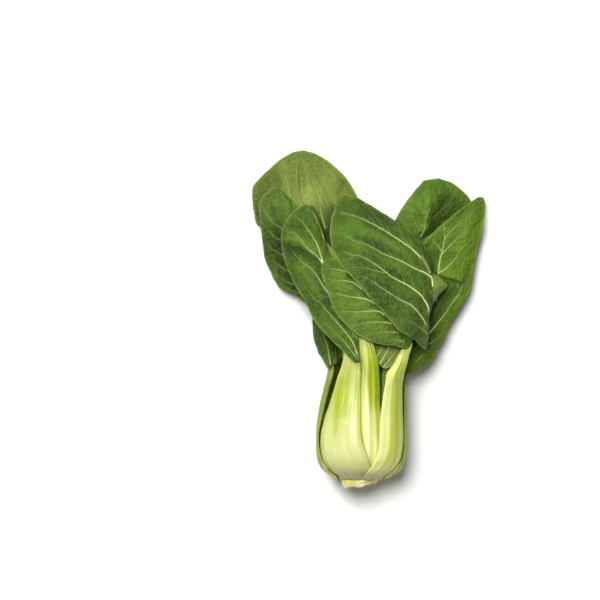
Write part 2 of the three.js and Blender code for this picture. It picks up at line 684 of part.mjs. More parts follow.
      [-42, 13.2, 7.6, 308, 6.6, 4.4], [-28, 16, 6, 292, 6.2, 4.2], [-10, 19.4, 4.6, 275, 5, 3.8],
      [15, 24, 4.4, 270, 4, 3.4], [40, 30.4, 6.4, 270, 3, 3], [62, 35.4, 8.6, 270, 2.2, 2.4],
      [82, 40.4, 9.6, 270, 1.3, 1.6],
    ],
    leaves: [-48, -32],
    crown: [0.6, 1.6],
    ribs: 3,
    across: 10,
    blade: {
      left: [
        [9, -27, 14], [7, -10, 11], [7, 12, 9], [9, 36, 9.4], [13, 55, 10], [18.4, 68.6, 10.4],
        [25, 79.6, 11], [31, 87.6, 11], [37, 94.4, 10.6],
      ],
      middle: [
        [14, -28, 13], [19, -10, 10.4], [24, 15, 9.4], [30, 40, 11], [35, 62, 14],
        [38.6, 78, 15.6], [42, 95.6, 11],
      ],
      right: [
        [19, -29, 13], [28, -27, 10], [37, -19, 7.6], [43, -4, 6], [48, 16, 5], [55, 40, 4.4],
        [62, 60, 5], [68.4, 74, 6], [69.6, 82, 7], [63.6, 88, 8], [56.4, 93.2, 8.6],
        [47.6, 96.3, 9.6],
      ],
      rows: 16, columns: 10, arch: -1.6, wave: 0.8, waves: 5,
    },
  },

  back_left: {
    round: [
      [-108.4, 254, 214, 15.6, 1.6], [-106.2, 254, 214, 19.2, 4.4], [-103.8, 254, 214, 24.8, 5.2],
      [-100.5, 254, 214, 28, 6.2],
      [-96, 254, 214, 29.6, 7], [-90, 254, 214, 30.3, 7.2], [-82, 254, 214, 30.5, 7],
      [-73, 253, 214, 30.2, 6.4], [-64, 252, 214, 29.4, 5.6], [-55, 251, 214.5, 28.4, 5],
      [-46, 250, 215, 27.6, 4.6], [-38, 249, 216, 27.2, 4.4],
    ],
    free: [
      [-42, -22, 8.8, 233, 7, 4.4], [-28, -23.6, 6.4, 248, 6.6, 4.2], [-10, -26, 4, 264, 5.2, 3.8],
      [15, -31, 2.4, 270, 4, 3.4], [40, -38.6, 1.4, 270, 3, 2.8], [62, -46, 0.6, 270, 2, 2],
      [76, -50, 0.4, 270, 1.2, 1.4],
    ],
    leaves: [-48, -32],
    crown: [1.6, 0.6],
    ribs: 3,
    across: 10,
    blade: {
      left: [
        [-25, -26, 13], [-32, -10, 8], [-37, 8, 5], [-46, 26, 3], [-58, 40, 1.6], [-66, 54, 1],
        [-69, 68, 1], [-66, 80, 1], [-58, 87, 1.4],
      ],
      middle: [
        [-20, -27, 12.4], [-23, -10, 9], [-30, 15, 6.4], [-38.6, 40, 5], [-46, 62, 4],
        [-54, 88.6, 1.6],
      ],
      right: [
        [-15, -27, 12], [-12, -10, 9], [-14, 10, 7], [-18, 32, 5.6], [-24, 54, 4],
        [-32, 72, 2.6], [-42, 84, 1.6], [-50, 88.4, 1.4],
      ],
      rows: 14, columns: 8, arch: 1.4, wave: 0.6, waves: 4,
    },
  },

  back: {
    round: [
      [-108.4, 298, 246, 15.6, 1.6], [-106.2, 298, 246, 19, 4.4], [-103.8, 298, 246, 24.6, 5.2],
      [-100.5, 298, 246, 27.8, 6.2],
      [-96, 298, 246, 29.6, 7], [-90, 298, 246, 30.6, 7.2], [-82, 298, 246, 30.9, 7],
      [-73, 298, 246, 30.9, 6.4], [-64, 297, 246, 30.6, 5.8], [-55, 296, 247, 30.2, 5.2],
      [-46, 294, 248, 29.8, 4.8], [-38, 292, 249, 29.6, 4.6], [-31, 290, 250, 29.6, 4.4],
    ],
    free: [
      [-40, -5.4, 1, 270, 10, 4.4], [-25, -4.4, 0.6, 270, 7.6, 4], [-5, -2.4, 0.5, 270, 5.6, 3.8],
      [18, 0.6, 0.4, 270, 4, 3.2], [40, 3.4, 0.4, 270, 2.8, 2.6], [58, 5, 0.4, 270, 1.4, 1.6],
    ],
    leaves: [-44, -28],
    crown: [0.6, 0.6],
    ribs: 4,
    across: 12,
    blade: {
      left: [
        [-10, -24, 6.6], [-19, -8, 4], [-25, 12, 2.4], [-25, 34, 1.4], [-18, 54, 1], [-6, 66.6, 1],
      ],
      middle: [
        [-4.4, -25, 6], [-2, 0, 5.4], [1.4, 24, 4.4], [4.4, 48, 3], [2, 69, 1],
      ],
      right: [
        [1, -24, 6.6], [12, -8, 4], [22, 12, 2.4], [27, 34, 1.4], [22, 54, 1], [9, 67, 1],
      ],
      rows: 13, columns: 8, arch: 0.8, wave: 0.4, waves: 4,
    },
  },

  heart_a: {
    round: [
      [-90, 210, 100, 11.6, 3.2], [-82, 208, 102, 12.4, 3.4], [-73, 206, 104, 12.6, 3.4],
      [-64, 204, 106, 12.4, 3.2], [-55, 202, 108, 12, 3], [-46, 200, 110, 11.6, 2.8],
    ],
    free: [
      [-50, -14, 38, 140, 5, 2.8], [-38, -13, 36, 130, 4, 2.4], [-22, -11, 33, 110, 2.6, 2],
      [-8, -9.6, 30.6, 95, 1.2, 1.4],
    ],
    leaves: [-50, -40],
    crown: [0.3, 0.3],
    ribs: 2,
    across: 8,
    blade: {
      left: [[-15, -36, 41.5], [-19, -24, 38], [-18, -8, 35], [-12, 1, 33]],
      middle: [[-12.4, -36, 41.6], [-11, -20, 39], [-10, -6, 36], [-9, 2, 33.6]],
      right: [[-10, -36, 41.5], [-4, -24, 38], [-3, -8, 35], [-7, 1, 33]],
      rows: 7, columns: 6, arch: 0.6, wave: 0.3, waves: 2,
    },
  },

  heart_b: {
    round: [
      [-90, 40, -70, 11.6, 3.2], [-82, 38, -68, 12.4, 3.4], [-73, 36, -66, 12.6, 3.4],
      [-64, 32, -62, 12.4, 3.2], [-55, 28, -58, 12, 3], [-46, 20, -54, 11.6, 2.8],
    ],
    free: [
      [-50, 3, 24, 330, 5, 2.8], [-38, 4, 23, 310, 4, 2.4], [-22, 5, 21, 285, 2.6, 2],
      [-8, 6, 19, 270, 1.2, 1.4],
    ],
    leaves: [-50, -40],
    crown: [0.3, 0.3],
    ribs: 2,
    across: 8,
    blade: {
      left: [[2, -36, 27.4], [-3, -24, 26], [-2, -8, 25], [2, 1, 24]],
      middle: [[4.6, -36, 27.6], [5.2, -20, 26.6], [5.8, -6, 25.4], [5, 2, 24]],
      right: [[7, -36, 27.4], [13, -24, 26], [13, -8, 25], [8, 1, 24]],
      rows: 7, columns: 6, arch: 0.6, wave: 0.3, waves: 2,
    },
  },
};

// from the inside of the bulb outwards
const WRAP_ORDER = [
  'heart_a', 'heart_b', 'top', 'middle', 'back_left', 'back_right',
  'front_left', 'front_right', 'left', 'right', 'back',
];

// from the surface upwards
const PILE_ORDER = [
  'back_stalk', 'back_blade', 'back_left_stalk', 'back_left_blade',
  'back_right_stalk', 'back_right_blade', 'right_stalk', 'right_blade',
  'heart_b_stalk', 'heart_b_blade', 'heart_a_stalk', 'heart_a_blade',
  'top_stalk', 'middle_blade', 'middle_stalk', 'left_stalk', 'left_blade',
  'front_left_stalk', 'front_left_blade', 'front_right_stalk', 'front_right_blade', 'top_blade',
];

// ---------------------------------------------------------------- finishes

const FINISHES = {
  butt: { color: 0xe8dfae, roughness: 0.75 },
  stalk: { color: 0xd3dd86, roughness: 0.38 },
  middle_stalk: { color: 0xc3cf63, roughness: 0.38 },
  left_stalk: { color: 0xa9bd52, roughness: 0.4 },
  blade: { color: 0x4c7230, roughness: 0.42 },
  middle_blade: { color: 0x87a466, roughness: 0.6 },
  right_blade: { color: 0x5b8a32, roughness: 0.42 },
  top_blade: { color: 0x55813c, roughness: 0.42 },
  front_left_blade: { color: 0x3f6630, roughness: 0.42 },
};

function finish(name) {
  const kind = name.endsWith('stalk') ? 'stalk' : 'blade';
  const chosen = FINISHES[name] ?? FINISHES[kind];
  return new THREE.MeshStandardMaterial({ ...chosen, metalness: 0 });
}

// ---------------------------------------------------------------- assembly

const group = new THREE.Group();

function add(name, geometry) {
  const mesh = new THREE.Mesh(geometry, finish(name));
  mesh.name = name;
  group.add(mesh);
}

add('butt', butt());
wrapButt();

const stalks = {};
WRAP_ORDER.forEach((name) => {
  stalks[name] = stalk(LEAVES[name]);
});
restFlat(stalks.back);

PILE_ORDER.forEach((name) => {
  const leafName = name.replace(/_(stalk|blade)$/, '');
  const leaf = LEAVES[leafName];
  const ofStalk = name.endsWith('stalk');
  const triangles = ofStalk ? stalkTriangles(stalks[leafName]) : bladeTriangles(leaf.blade);
  if (ofStalk) drapeStalk(stalks[leafName], triangles);
  const positions = ofStalk ? stalks[leafName].positions : drapeBlade(leaf, bladeGrid(leaf.blade));
  lay(name, positions, triangles);
  add(name, meshOf(positions, triangles));
});

export default group;
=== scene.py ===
# %% [markdown]
# # A head of bok choy, cut and lying down
#
# This notebook dresses a plain model of a bok choy head: a cut stump, eleven thick stalks that
# clasp each other into a bulb, and eleven glossy blades that lie over one another. The plain
# model already holds every form. Here each form becomes a smooth, ribbed and veined surface
# with a living finish, and then the head is lit and looked at from above.

import math

import bpy
import numpy as np
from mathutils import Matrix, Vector
from mathutils.bvhtree import BVHTree


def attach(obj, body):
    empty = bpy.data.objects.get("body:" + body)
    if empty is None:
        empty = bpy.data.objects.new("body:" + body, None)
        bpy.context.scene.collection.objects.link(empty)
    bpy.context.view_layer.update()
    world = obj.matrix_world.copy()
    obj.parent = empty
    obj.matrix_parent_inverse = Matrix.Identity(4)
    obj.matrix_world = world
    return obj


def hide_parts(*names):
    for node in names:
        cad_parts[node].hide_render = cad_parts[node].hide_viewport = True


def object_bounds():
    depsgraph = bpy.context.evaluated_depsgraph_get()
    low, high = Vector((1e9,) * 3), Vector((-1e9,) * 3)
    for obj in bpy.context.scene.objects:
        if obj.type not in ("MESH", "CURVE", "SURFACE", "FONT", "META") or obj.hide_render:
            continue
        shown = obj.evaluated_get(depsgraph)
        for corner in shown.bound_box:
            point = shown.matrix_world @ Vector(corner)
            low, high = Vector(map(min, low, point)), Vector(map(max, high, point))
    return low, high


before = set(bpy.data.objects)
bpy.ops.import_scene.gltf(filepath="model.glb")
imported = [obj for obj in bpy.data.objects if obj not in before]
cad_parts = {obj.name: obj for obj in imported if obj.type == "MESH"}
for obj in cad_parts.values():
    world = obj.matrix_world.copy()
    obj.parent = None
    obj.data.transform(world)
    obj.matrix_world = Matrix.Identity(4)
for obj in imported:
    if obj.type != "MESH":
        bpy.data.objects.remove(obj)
plain_box = [list(corner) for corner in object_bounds()]
print("plain model:", len(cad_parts), "nodes, box", plain_box)

MM = 0.001   # every length below is in millimetres until a mesh is made
plain_low, plain_high = np.array(plain_box) / MM


def placed(name, data):
    """A new object at the origin, unturned, that shows a mesh, a curve, a light or a camera."""
    thing = bpy.data.objects.new(name, data)
    bpy.context.scene.collection.objects.link(thing)
    return thing


# %% [markdown]
# ## Reading a blade back as a grid
#
# A blade in the plain model is a sheet with a front and a back, cut into rows along the leaf
# and columns across it. Its triangles arrive loose. A subdivision modifier could smooth them,
# but it would know nothing of where the midrib or the margin is. So the corners are sewn
# together and the rows are walked again, one after the other: with rows and columns known,
# every vein, colour and ripple can be placed by how far along and across the leaf it lies.

# %% Sew the loose triangles
def sewn(node):
    """The node's corners in millimetres, and its triangles by corner number."""
    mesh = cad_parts[node].data
    corners = np.array([v.co for v in mesh.vertices]) / MM
    faces = np.array([p.vertices[:] for p in mesh.polygons])
    _, first, number = np.unique(corners.round(3), axis=0, return_index=True, return_inverse=True)
    return corners[first], number.reshape(-1)[faces]


def across_from(faces):
    """For each edge of each triangle, in its direction: the triangle's third corner."""
    third = {}
    for a, b, c in faces.tolist():
        third[(a, b)], third[(b, c)], third[(c, a)] = c, a, b
    return third


# %% [markdown]
# ### From loose triangles to rows
#
# A row runs across the blade, from one margin to the other. An edge on the margin has a triangle
# on one side only, so the margin is easy to find, and it gives the first row, next to the stalk.
# From there each triangle leads to a point of the next row. The corners could be sorted by their
# place instead, but that would mix up the rows wherever a blade is folded.

# %% Walk the rows of a blade
def blade_grid(node, columns):
    """The upper and the lower face of a blade, each as rows x columns points."""
    corners, faces = sewn(node)
    # From above, each corner of the lower face lies right under one of the upper face.
    order = np.lexsort((corners[:, 2], corners[:, 1].round(3), corners[:, 0].round(3)))
    lower, upper = order[0::2], order[1::2]
    is_upper = np.zeros(len(corners), bool)
    is_upper[upper] = True
    under = np.zeros(len(corners), int)
    under[upper] = lower
    third = across_from(faces[is_upper[faces].all(axis=1)])
    margin = {a: b for a, b in third if (b, a) not in third}
    fans = np.bincount([a for a, b in third], minlength=len(corners))
    # The first row starts where two triangles meet in a corner of the grid, next to the stalk.
    starts = [a for a in margin if fans[a] == 2]
    row = [min(starts, key=lambda a: corners[a, 1])]
    while len(row) <= columns:
        row.append(margin[row[-1]])
    rows = [row]
    while (row[0], row[1]) in third:
        ahead = [third[(a, b)] for a, b in zip(row, row[1:])]
        row = [third[(row[0], ahead[0])]] + ahead
        rows.append(row)
    rows = np.array(rows)
    return corners[rows], corners[under[rows]]


# %% [markdown]
# ## Reading a stalk back as a grid
#
# A stalk is a closed band: its outer face, then its inner face back again. Every ring of it
# lies at one height along the head, so the lowest ring is found first, and each ring leads to
# the next. The thin edges of the band are where the two faces come closest.

# %% Walk the rings of a stalk
def stalk_grid(node, across):
    """The outer and the inner face of a stalk, each as rings x points, from edge to edge."""
    corners, faces = sewn(node)
    level = np.unique(corners[:, 1].round(2), return_inverse=True)[1].reshape(-1)
    third = across_from(faces)

    def ring_of(here, other):
        step = {a: b for (a, b), c in third.items()
                if level[a] == level[b] == here and level[c] == other}
        ring = [next(iter(step))]
        while len(ring) < len(step):
            ring.append(step[ring[-1]])
        return corners[ring]

    # The last ring has triangles only below it, so it is walked the other way and turned over.
    top = level.max()
    rings = [ring_of(here, here + 1) for here in range(top)] + [ring_of(top, top - 1)[::-1]]
    # Each ring starts where its points lie nearest to those of the ring below.
    for below, ring in enumerate(rings[1:]):
        turns = [np.roll(ring, turn, axis=0) for turn in range(len(ring))]
        gaps = [np.linalg.norm(turned - rings[below], axis=1).sum() for turned in turns]
        rings[below + 1] = turns[np.argmin(gaps)]
    band = np.array(rings)

    def faces_apart(turn):
        """How far apart the two faces would be, if the band's edge were this many points on."""
        turned = np.roll(band[len(band) // 2], -turn, axis=0)
        return np.linalg.norm(turned[:across + 1:2] - turned[:across:-1], axis=1).sum()

    start = min(range(band.shape[1]), key=faces_apart)
    band = np.roll(band, -start, axis=1)
    return band[:, :across + 1], band[:, :across:-1]


# %% [markdown]
# ## A finer surface through the same points
#
# A Catmull-Rom curve passes through all its points, so a surface woven from such curves keeps
# the plain model's form and the room between neighbours. A Catmull-Clark subdivision would
# shrink away from every bend.

# %% Weave a finer grid
def finer_one_way(points, steps):
    """Points along the first axis, with `steps` of them to each old one."""
    first, last = 2 * points[:1] - points[1:2], 2 * points[-1:] - points[-2:-1]
    p = np.concatenate([first, points, last])
    a, b, c, d = p[:-3], p[1:-2], p[2:-1], p[3:]
    woven = [b + t / 2 * (c - a + t * (2 * a - 5 * b + 4 * c - d + t * (3 * (b - c) + d - a)))
             for t in np.arange(steps) / steps]
    woven = np.stack(woven, axis=1).reshape(-1, *points.shape[1:])
    return np.concatenate([woven, points[-1:]])


def finer(grid, along, across):
    """A grid with so many rows and columns to each old one."""
    grid = finer_one_way(grid, along)
    return np.swapaxes(finer_one_way(np.swapaxes(grid, 0, 1), across), 0, 1)


def normals(grid):
    up = np.gradient(grid, axis=0)
    right = np.gradient(grid, axis=1)
    normal = np.cross(right, up)
    return normal / np.maximum(np.linalg.norm(normal, axis=2, keepdims=True), 1e-9)


def at(grid, a, b):
    """The grid's value at fractional rows a and columns b."""
    i = np.clip(a.astype(int), 0, grid.shape[0] - 2)
    j = np.clip(b.astype(int), 0, grid.shape[1] - 2)
    u, v = (a - i)[:, None], (b - j)[:, None]
    low = grid[i, j] * (1 - v) + grid[i, j + 1] * v
    high = grid[i + 1, j] * (1 - v) + grid[i + 1, j + 1] * v
    return low * (1 - u) + high * u


# %% [markdown]
# ## Crumple
#
# Leaves are never smooth. Their unevenness is soft and has a size: large lazy swells, and
# small puckers between the veins. Adding a dozen plane waves with seeded directions gives such
# a soft unevenness at any size, and it comes out the same on every run.

# %% Soft unevenness of a given size
def crumple(points, size, seed):
    """About -1 to 1 over the points, in swells about `size` millimetres apart."""
    draw = np.random.default_rng(seed)
    total = np.zeros(points.shape[:-1])
    for _ in range(12):
        direction = draw.normal(size=3)
        direction /= np.linalg.norm(direction)
        wave = size * draw.uniform(0.75, 1.4)
        total += np.sin(points @ direction * (2 * math.pi / wave) + draw.uniform(0, 7))
    return total / 4


def smooth(value, low, high):
    """0 up to low, 1 from high on, and a soft step between them."""
    t = np.clip((value - low) / (high - low), 0, 1)
    return t * t * (3 - 2 * t)


# %% [markdown]
# ## A closed skin from two faces
#
# Blades and stalks both have two faces that meet along thin edges. One helper closes them: it
# joins the two grids all round with a loop that stands out a little, so the edge is rounded
# and no seam is left open. The face that is seen and the one behind it keep separate finishes.
# What would pass the plain model's box is pressed flat against it, as the head's underside is
# pressed flat by the table.

# %% The loop round a grid
def edge_loop(rows, columns):
    """The rows and the columns of the outermost points, once round."""
    loop = [(0, j) for j in range(columns - 1)]
    loop += [(i, columns - 1) for i in range(rows - 1)]
    loop += [(rows - 1, j) for j in range(columns - 1, 0, -1)]
    loop += [(i, 0) for i in range(rows - 1, 0, -1)]
    return np.array(loop).T


def quads_of(rows, columns):
    """The four corner numbers of every quad between the rows and the columns."""
    number = np.arange(rows * columns).reshape(rows, columns)
    corners = number[:-1, :-1], number[:-1, 1:], number[1:, 1:], number[1:, :-1]
    return np.stack(corners, axis=-1).reshape(-1, 4)


# %% [markdown]
# ### The piece itself
#
# With the loop known, the piece is three sets of points: the face in front, the face behind it
# and the rim between them. A solidify modifier would thicken a blade as well, but a stalk's inner
# face has a form of its own, which it couldn't keep.

# %% Close two faces into one piece
EDGE_BULGE = 0.3    # how far the rounded edge stands out, in thicknesses


def closed_skin(name, front, back, values, uv, finishes):
    """One closed piece: values and uv are kept at its points, the last finish is the back's."""
    rows, columns = front.shape[:2]
    i, j = edge_loop(rows, columns)
    inner = np.clip(i, 1, rows - 2), np.clip(j, 1, columns - 2)
    middle = (front[i, j] + back[i, j]) / 2
    out = middle - (front[inner] + back[inner]) / 2
    out /= np.maximum(np.linalg.norm(out, axis=1, keepdims=True), 1e-9)
    thick = np.linalg.norm(front[i, j] - back[i, j], axis=1, keepdims=True)
    rim = middle + out * thick * EDGE_BULGE

    count = rows * columns
    quads = quads_of(rows, columns)
    a = i * columns + j
    b = np.roll(a, -1)
    ra = 2 * count + np.arange(len(a))
    rb = np.roll(ra, -1)
    faces = np.concatenate([
        quads, quads[:, ::-1] + count,
        np.stack([a, ra, rb, b], axis=1), np.stack([ra, a + count, b + count, rb], axis=1),
    ])
    points = np.concatenate([front.reshape(-1, 3), back.reshape(-1, 3), rim]) * MM
    points = np.clip(points, *plain_box)

    mesh = bpy.data.meshes.new(name)
    mesh.vertices.add(len(points))
    mesh.vertices.foreach_set("co", points.astype(np.float32).ravel())
    mesh.loops.add(faces.size)
    mesh.loops.foreach_set("vertex_index", faces.astype(np.int32).ravel())
    mesh.polygons.add(len(faces))
    mesh.polygons.foreach_set("loop_start", np.arange(0, faces.size, 4, dtype=np.int32))
    mesh.polygons.foreach_set("use_smooth", np.ones(len(faces), bool))
    mesh.update(calc_edges=True)
    for finish in finishes:
        mesh.materials.append(finish)
    is_front = np.arange(len(faces)) < len(quads)
    side = np.where(is_front, 0, len(finishes) - 1).astype(np.int32)
    mesh.polygons.foreach_set("material_index", side)

    def everywhere(value):
        """The value at the front's points, then at the back's and at the rim's."""
        value = value.reshape(count, -1)
        return np.concatenate([value, value, value[a]])

    for key, value in values.items():
        attribute = mesh.attributes.new(key, "FLOAT", "POINT")
        attribute.data.foreach_set("value", everywhere(value).astype(np.float32).ravel())
    layer = mesh.uv_layers.new(name="UVMap")
    layer.data.foreach_set("uv", everywhere(uv)[faces.ravel()].astype(np.float32).ravel())
    return placed(name, mesh)


# %% [markdown]
# ## Writing finishes as sums
#
# A finish is a net of small nodes. Wired by hand it is long and hard to read, so one small
# class wraps a socket and lets it be added, multiplied and mixed like a number, and one method
# makes any other node from its settings and its inputs.

# %% A socket that can be reckoned with
class Reading:
    """What a socket gives, to be reckoned with like a number."""
    def __init__(self, finish, socket):
        self.finish, self.socket = finish, socket

    def _math(self, operation, *others):
        return self.finish.node("ShaderNodeMath", {"operation": operation}, [self, *others])

    def __add__(self, other):
        return self._math("ADD", other)

    def __radd__(self, other):
        return self._math("ADD", other)

    def __sub__(self, other):
        return self._math("SUBTRACT", other)

    def __rsub__(self, other):
        return self.finish.node("ShaderNodeMath", {"operation": "SUBTRACT"}, [other, self])

    def __mul__(self, other):
        return self._math("MULTIPLY", other)

    def __truediv__(self, other):
        return self._math("DIVIDE", other)

    def held(self):
        """Kept between 0 and 1."""
        return self.finish.node("ShaderNodeClamp", {}, {"Value": self})


class Finish:
    """A material: its shader with fixed values, and the nodes that feed it."""
    def __init__(self, name, **fixed):
        self.material = bpy.data.materials.new(name)
        self.material.use_nodes = True
        self.tree = self.material.node_tree
        self.shader = self.tree.nodes["Principled BSDF"]
        for socket, value in fixed.items():
            self.shader.inputs[socket.replace("_", " ")].default_value = value

    def node(self, kind, settings=None, values=None, out=0):
        """Any node: its settings first, then the values or links of its sockets."""
        node = self.tree.nodes.new(kind)
        for key, value in (settings or {}).items():
            setattr(node, key, value)
        pairs = values.items() if isinstance(values, dict) else enumerate(values or [])
        for key, value in pairs:
            self.put(node.inputs[key], value)
        return Reading(self, node.outputs[out])

    def put(self, socket, value):
        """Link a socket, or set it to a number, a vector or a colour."""
        if isinstance(value, Reading):
            self.tree.links.new(value.socket, socket)
        elif socket.type == "RGBA":
            socket.default_value = (*value, 1)
        else:
            socket.default_value = value

    def mix(self, share, first, second):
        """A colour between two: the first at share 0, the second at share 1."""
        values = {0: share, 6: first, 7: second}
        return self.node("ShaderNodeMix", {"data_type": "RGBA"}, values, 2)

    def held_value(self, name):
        """A value that the mesh carries at its points."""
        return self.node("ShaderNodeAttribute", {"attribute_name": name}, out=2)

    def noise(self, where, scale, detail=3.0, roughness=0.55):
        values = {"Vector": where, "Scale": scale, "Detail": detail, "Roughness": roughness}
        return self.node("ShaderNodeTexNoise", {}, values)

    def place(self):
        """Object coordinates, in metres."""
        return self.node("ShaderNodeTexCoord", out=3)

    def lengthwise(self, across, along, detail):
        """Streaks in the piece's own UV map, by how many fit across it and along it."""
        uv = self.node("ShaderNodeTexCoord", out=2)
        values = {"Vector": uv, "Scale": (across, along, 1)}
        return self.noise(self.node("ShaderNodeMapping", {}, values), 1.0, detail)

    def surface(self, **wired):
        for socket, value in wired.items():
            self.put(self.shader.inputs[socket.replace("_", " ")], value)

    def raised(self, height, strength, distance):
        values = {"Strength": strength, "Distance": distance, "Height": height}
        self.surface(Normal=self.node("ShaderNodeBump", {}, values))


# %% [markdown]
# ## The leaf finishes
#
# The upper face of a blade is deep green with a waxy gloss. Close to, a net of tiny veins
# divides it into cells a few millimetres wide that stand up like small cushions. It pales
# beside every vein, and a painted highlight pales it along the margin. The lower face is paler,
# greyer and matt, with long streaks where the upper one has cushions. An image could paint all
# this, but it would blur close to. Noise and Voronoi textures stay sharp, and the values that
# each blade's mesh carries tell them where the veins and the margin are, and where shade and
# light are painted on.

# %% Leaf finishes
NET, SMALL_NET = 260.0, 720.0       # cells to a metre: about 4 mm and 1.4 mm wide
LINE, FINE_LINE = 0.09, 0.12        # how wide the nets' lines are, in cells
WANDER = (0.0035, 0.0035, 0.0035)   # how far the net's lines stray, in metres
# IN_SHADE is painted shade: the dark green that a blade is pulled to where it lies between other
# leaves.
IN_SHADE = (0.008, 0.016, 0.003)    # deep between other leaves


def leaf_finish(name, deep, fresh, pale, roughness, net=1.0, streaky=0.35):
    """Two greens that drift into each other, under a pale net as strong as `net`."""
    finish = Finish(name, Specular_IOR_Level=0.10)
    place = finish.place()
    streaks = finish.lengthwise(46, 2.4, 3)
    drift = finish.node("ShaderNodeTexNoise", {}, {"Vector": place, "Scale": 140.0}, 1)
    moved = finish.node("ShaderNodeVectorMath", {"operation": "MULTIPLY_ADD"},
                        [drift, WANDER, place])

    def to_line(scale):
        """Distance to the nearest line of a net."""
        values = {"Vector": moved, "Scale": scale}
        return finish.node("ShaderNodeTexVoronoi", {"feature": "DISTANCE_TO_EDGE"}, values)

    cells, small = to_line(NET), to_line(SMALL_NET)
    lines, fine_lines = (1 - cells / LINE).held(), (1 - small / FINE_LINE).held()
    broad, fine = finish.noise(place, 30, 4, 0.6), finish.noise(place, 260, 3)
    # Clouds and streaks of both greens drift over the blade, and a painted shade makes its furrows
    # darker and its swells lighter.
    share = (broad - 0.34) * 2.4 + (fine - 0.5) * 0.5 + finish.held_value("height") * 0.30
    share = share + (streaks - 0.5) * streaky
    shade = finish.held_value("shade")
    # Painted shade: the mesh's shade value, from the deep patches and dark strips of a blade's
    # table, darkens the green and then pulls it to IN_SHADE.
    green = finish.mix((share - shade).held(), deep, fresh)
    green = finish.mix((shade - 0.5).held() * 0.9, green, IN_SHADE)
    # Pale patches: partly the leaf's own paler tone and its lower face where it shows, partly
    # painted light on places that lie in shade.
    green = finish.mix(finish.held_value("pale_tone_and_light").held(), green, pale)
    # The net and the skin beside the veins are thinly veiled with pale green, and the margin gets
    # a painted highlight of the same pale green.
    veiled = lines * 0.09 * net + fine_lines * 0.05 * net + finish.held_value("near_vein") * 0.22
    green = finish.mix((veiled + finish.held_value("margin") * 0.38).held(), green, pale)
    finish.surface(Base_Color=green, Roughness=roughness + broad * 0.14 - lines * 0.04)
    cushions = (cells * 2.4).held() + (small * 1.2).held() * 0.35
    finish.raised(cushions + streaks * 0.9 + fine * 0.5, 0.7, 0.0008)
    return finish.material


LEAF_UPPER = leaf_finish("leaf upper face", deep=(0.026, 0.058, 0.003),
                         fresh=(0.076, 0.152, 0.009), pale=(0.26, 0.36, 0.07), roughness=0.44)
LEAF_DARK = leaf_finish("dark leaf upper face", deep=(0.017, 0.042, 0.003),
                        fresh=(0.056, 0.112, 0.009), pale=(0.26, 0.36, 0.07), roughness=0.42)
LEAF_BRIGHT = leaf_finish("bright leaf upper face", deep=(0.036, 0.076, 0.003),
                          fresh=(0.088, 0.166, 0.009), pale=(0.28, 0.38, 0.06), roughness=0.44)
# The lower face has hardly any net, but long streaks between its side veins.
LEAF_LOWER = leaf_finish("leaf lower face", deep=(0.060, 0.090, 0.012),
                         fresh=(0.136, 0.186, 0.031), pale=(0.36, 0.44, 0.11), roughness=0.58,
                         net=0.3, streaky=2.2)
print("leaf finishes made")

# %% [markdown]
# ## The stalk finishes
#
# A stalk is crisp, wet tissue under a shiny skin: nearly cream on the swollen bulb, and
# greener towards the neck, along its edges and in the furrows between its ribs. Thin streaks
# run along it. The pattern therefore follows the stalk's own UV map, which is stretched along
# its length. Light sinks into it a little way, which a small subsurface weight gives. The stalks
# get four finishes, as the outer ones saw more sun than the ones that they hide. The darkest
# also serves the top stalk, whose dark green in the slit between the front stalks is painted
# shade.

# %% Stalk finishes
# On the middle stalk, where it shows between two leaf tips, MIDRIB is also painted shade.
MIDRIB = (0.13, 0.18, 0.030)        # a stalk is this green where it runs on under the blades
FOOT = (0.36, 0.33, 0.14)           # dry and brownish, next to the cut


def stalk_finish(name, cream, green, foot=FOOT, roughness=0.32):
    """Cream to green by the mesh's own values, streaked lengthwise."""
    finish = Finish(name, Specular_IOR_Level=0.3, Subsurface_Weight=0.10, Subsurface_Scale=0.003)
    streaks, fine = finish.lengthwise(22, 1.6, 4), finish.lengthwise(85, 3.0, 3)
    cloud = finish.noise(finish.place(), 42, 3)
    greener = finish.held_value("greener") + (streaks - 0.5) * 0.50 + (fine - 0.5) * 0.24
    colour = finish.mix((greener + (cloud - 0.5) * 0.22).held(), cream, green)
    base = finish.held_value("base")
    colour = finish.mix((base + base * (streaks - 0.5) * 1.4).held(), colour, foot)
    colour = finish.mix(finish.held_value("leafy"), colour, MIDRIB)
    finish.surface(Base_Color=colour, Roughness=roughness + cloud * 0.16)
    finish.raised(streaks + fine * 0.4, 0.22, 0.0005)
    return finish.material


STALK = stalk_finish("stalk skin", (0.55, 0.575, 0.24), (0.29, 0.36, 0.008))
STALK_PALE = stalk_finish("paler stalk skin", (0.68, 0.71, 0.27), (0.41, 0.485, 0.055),
                          (0.40, 0.37, 0.16))
STALK_INNER = stalk_finish("inner stalk skin", (0.70, 0.73, 0.30), (0.29, 0.36, 0.010))
STALK_GREEN = stalk_finish("greener stalk skin", (0.21, 0.265, 0.018), (0.10, 0.16, 0.004),
                           (0.40, 0.41, 0.13), 0.34)
print("stalk finishes made")

# %% [markdown]
# ## The finishes of the cut and of the veins
#
# The cut stump is dry and fibrous, cream with brown flecks where the knife bruised it and a pale
# rim. It has no direction as a stalk has, so its noise follows the place in space and not the UV
# map. A vein is pale where it is thick and green where it runs out. In one colour it would seem
# to stop short on the blade, so its finish reads the radius that its tube carries.

# %% Stump and vein finishes
TO_SHARE = 2300     # turns a vein's radius, in metres, into a share of a thick one's


